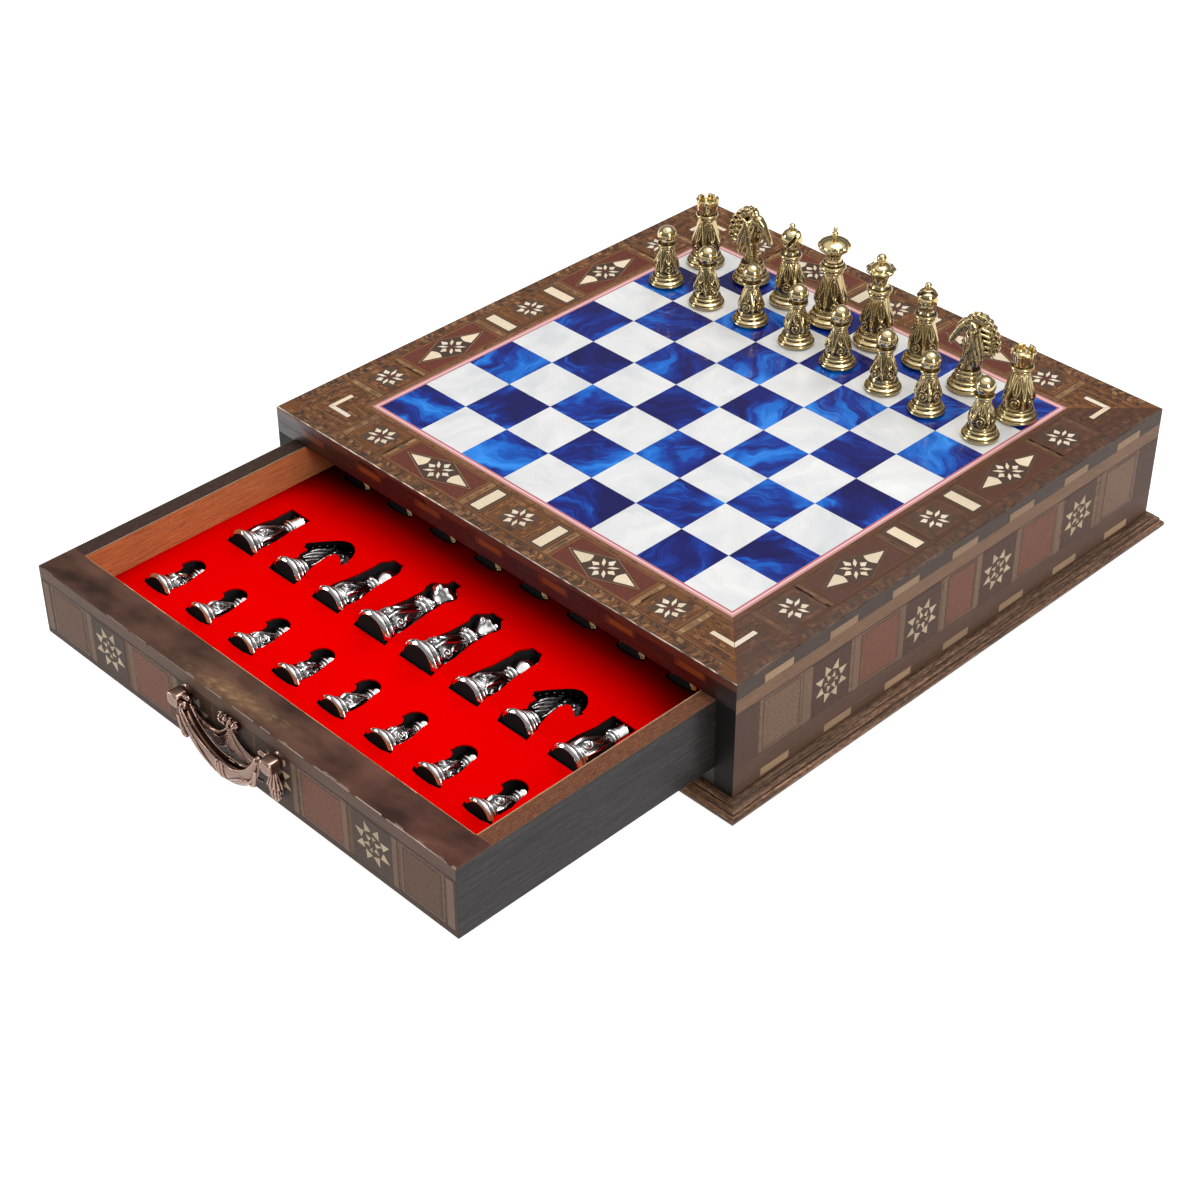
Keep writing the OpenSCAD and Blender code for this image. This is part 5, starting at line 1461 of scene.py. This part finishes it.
at_handle = Matrix.Translation((0, FRONT_Y * MM, POST_Z * MM))
at_bail = Matrix.Translation((0, (FRONT_Y - HANDLE_OFF) * MM, POST_Z * MM))
for name, maker, body, matrix, node in (
        ("handle_post_castings", handle_posts, "drawer", at_handle, "handle_posts"),
        ("handle_swag_casting", handle_swag, "drawer", at_handle, "handle_swag"),
        ("bail_casting", handle_bail, "bail", at_bail, "handle_bail")):
    place(name, melt(maker(), name, 0.24, COPPER), body, matrix, node)


# ------------------------------------------------------------------ stage, light and camera

FLOOR_HALF = 6
floor_mesh = bpy.data.meshes.new("floor")
floor_mesh.from_pydata([(FLOOR_HALF * x, FLOOR_HALF * y, 0) for x, y in ((-1, -1), (1, -1), (1, 1), (-1, 1))],
                       [], [(0, 1, 2, 3)])
floor_look = Shader("floor")
floor_look.set(color=(0.35, 0.35, 0.35, 1), rough=1.0, spec=0.0, glow=(1, 1, 1, 1), glow_strength=0.9)
floor_mesh.materials.append(floor_look.mat)
add_object("floor", floor_mesh)


def light_room(tree):
    """White to the camera, even grey for soft light, banded grey from floor to ceiling in reflections."""
    w = Nodes(tree)
    tree.nodes.clear()
    path = w.node("LightPath")
    seen = w.node("Math", {0: path["Is Camera Ray"], 1: path["Is Transmission Ray"]}, operation="MAXIMUM")[0]
    white = w.node("Background", {0: (1, 1, 1, 1), 1: 1.0})[0]
    fill = w.node("Background", {0: (1, 1, 1, 1), 1: 0.46})[0]
    height = w.node("SeparateXYZ", {0: w.node("TexCoord")["Generated"]})["Z"]
    sky = w.ramp(height, [(0.0, 0.10), (0.10, 0.26), (0.20, 0.03), (0.40, 0.34), (0.60, 0.16), (0.8, 1.0)])
    shine = w.node("Background", {0: sky, 1: 1.0})[0]
    unseen = w.node("MixShader", {0: path["Is Glossy Ray"], 1: fill, 2: shine})[0]
    w.node("OutputWorld", {0: w.node("MixShader", {0: seen, 1: unseen, 2: white})[0]})


world = bpy.data.worlds.new("studio")
bpy.context.scene.world = world
world.use_nodes = True
light_room(world.node_tree)


def softbox(name, at, aim, size, size_y, watts):
    data = bpy.data.lights.new(name, "AREA")
    data.shape = "RECTANGLE"
    data.size, data.size_y, data.energy = size, size_y, watts
    obj = add_object(name, data)
    obj.location = at
    obj.rotation_mode = "QUATERNION"
    obj.rotation_quaternion = (Vector(aim) - Vector(at)).to_track_quat("-Z", "Y")
    return obj


softbox("overhead", (0.1, 0.5, 2.1), (0, -0.1, 0), 1.2, 1.2, 28)
softbox("key_left", (-1.9, -1.5, 0.75), (0, -0.2, 0.05), 0.7, 0.8, 16)
softbox("key_right", (2.0, -0.5, 1.0), (0, -0.1, 0), 0.7, 1.1, 16)
softbox("back", (-0.9, 1.9, 1.3), (0, 0, 0.05), 1.4, 0.7, 20).visible_glossy = False

CAM_AT = (0.8092, -0.8993, 0.8500)
CAM_AZ, CAM_EL, CAM_ROLL = radians(45.293), radians(36.882), radians(-0.022)
cam_data = bpy.data.cameras.new("camera")
cam_data.lens, cam_data.sensor_width = 73.005, 36.0
cam_data.clip_start, cam_data.clip_end = 0.05, 50
cam = add_object("camera", cam_data)
cam.location = CAM_AT
cam.rotation_euler = (Matrix.Rotation(CAM_AZ, 3, "Z") @ Matrix.Rotation(QUARTER - CAM_EL, 3, "X")
                      @ Matrix.Rotation(CAM_ROLL, 3, "Z")).to_euler()
bpy.context.scene.camera = cam
bpy.context.scene.view_settings.view_transform = "Standard"
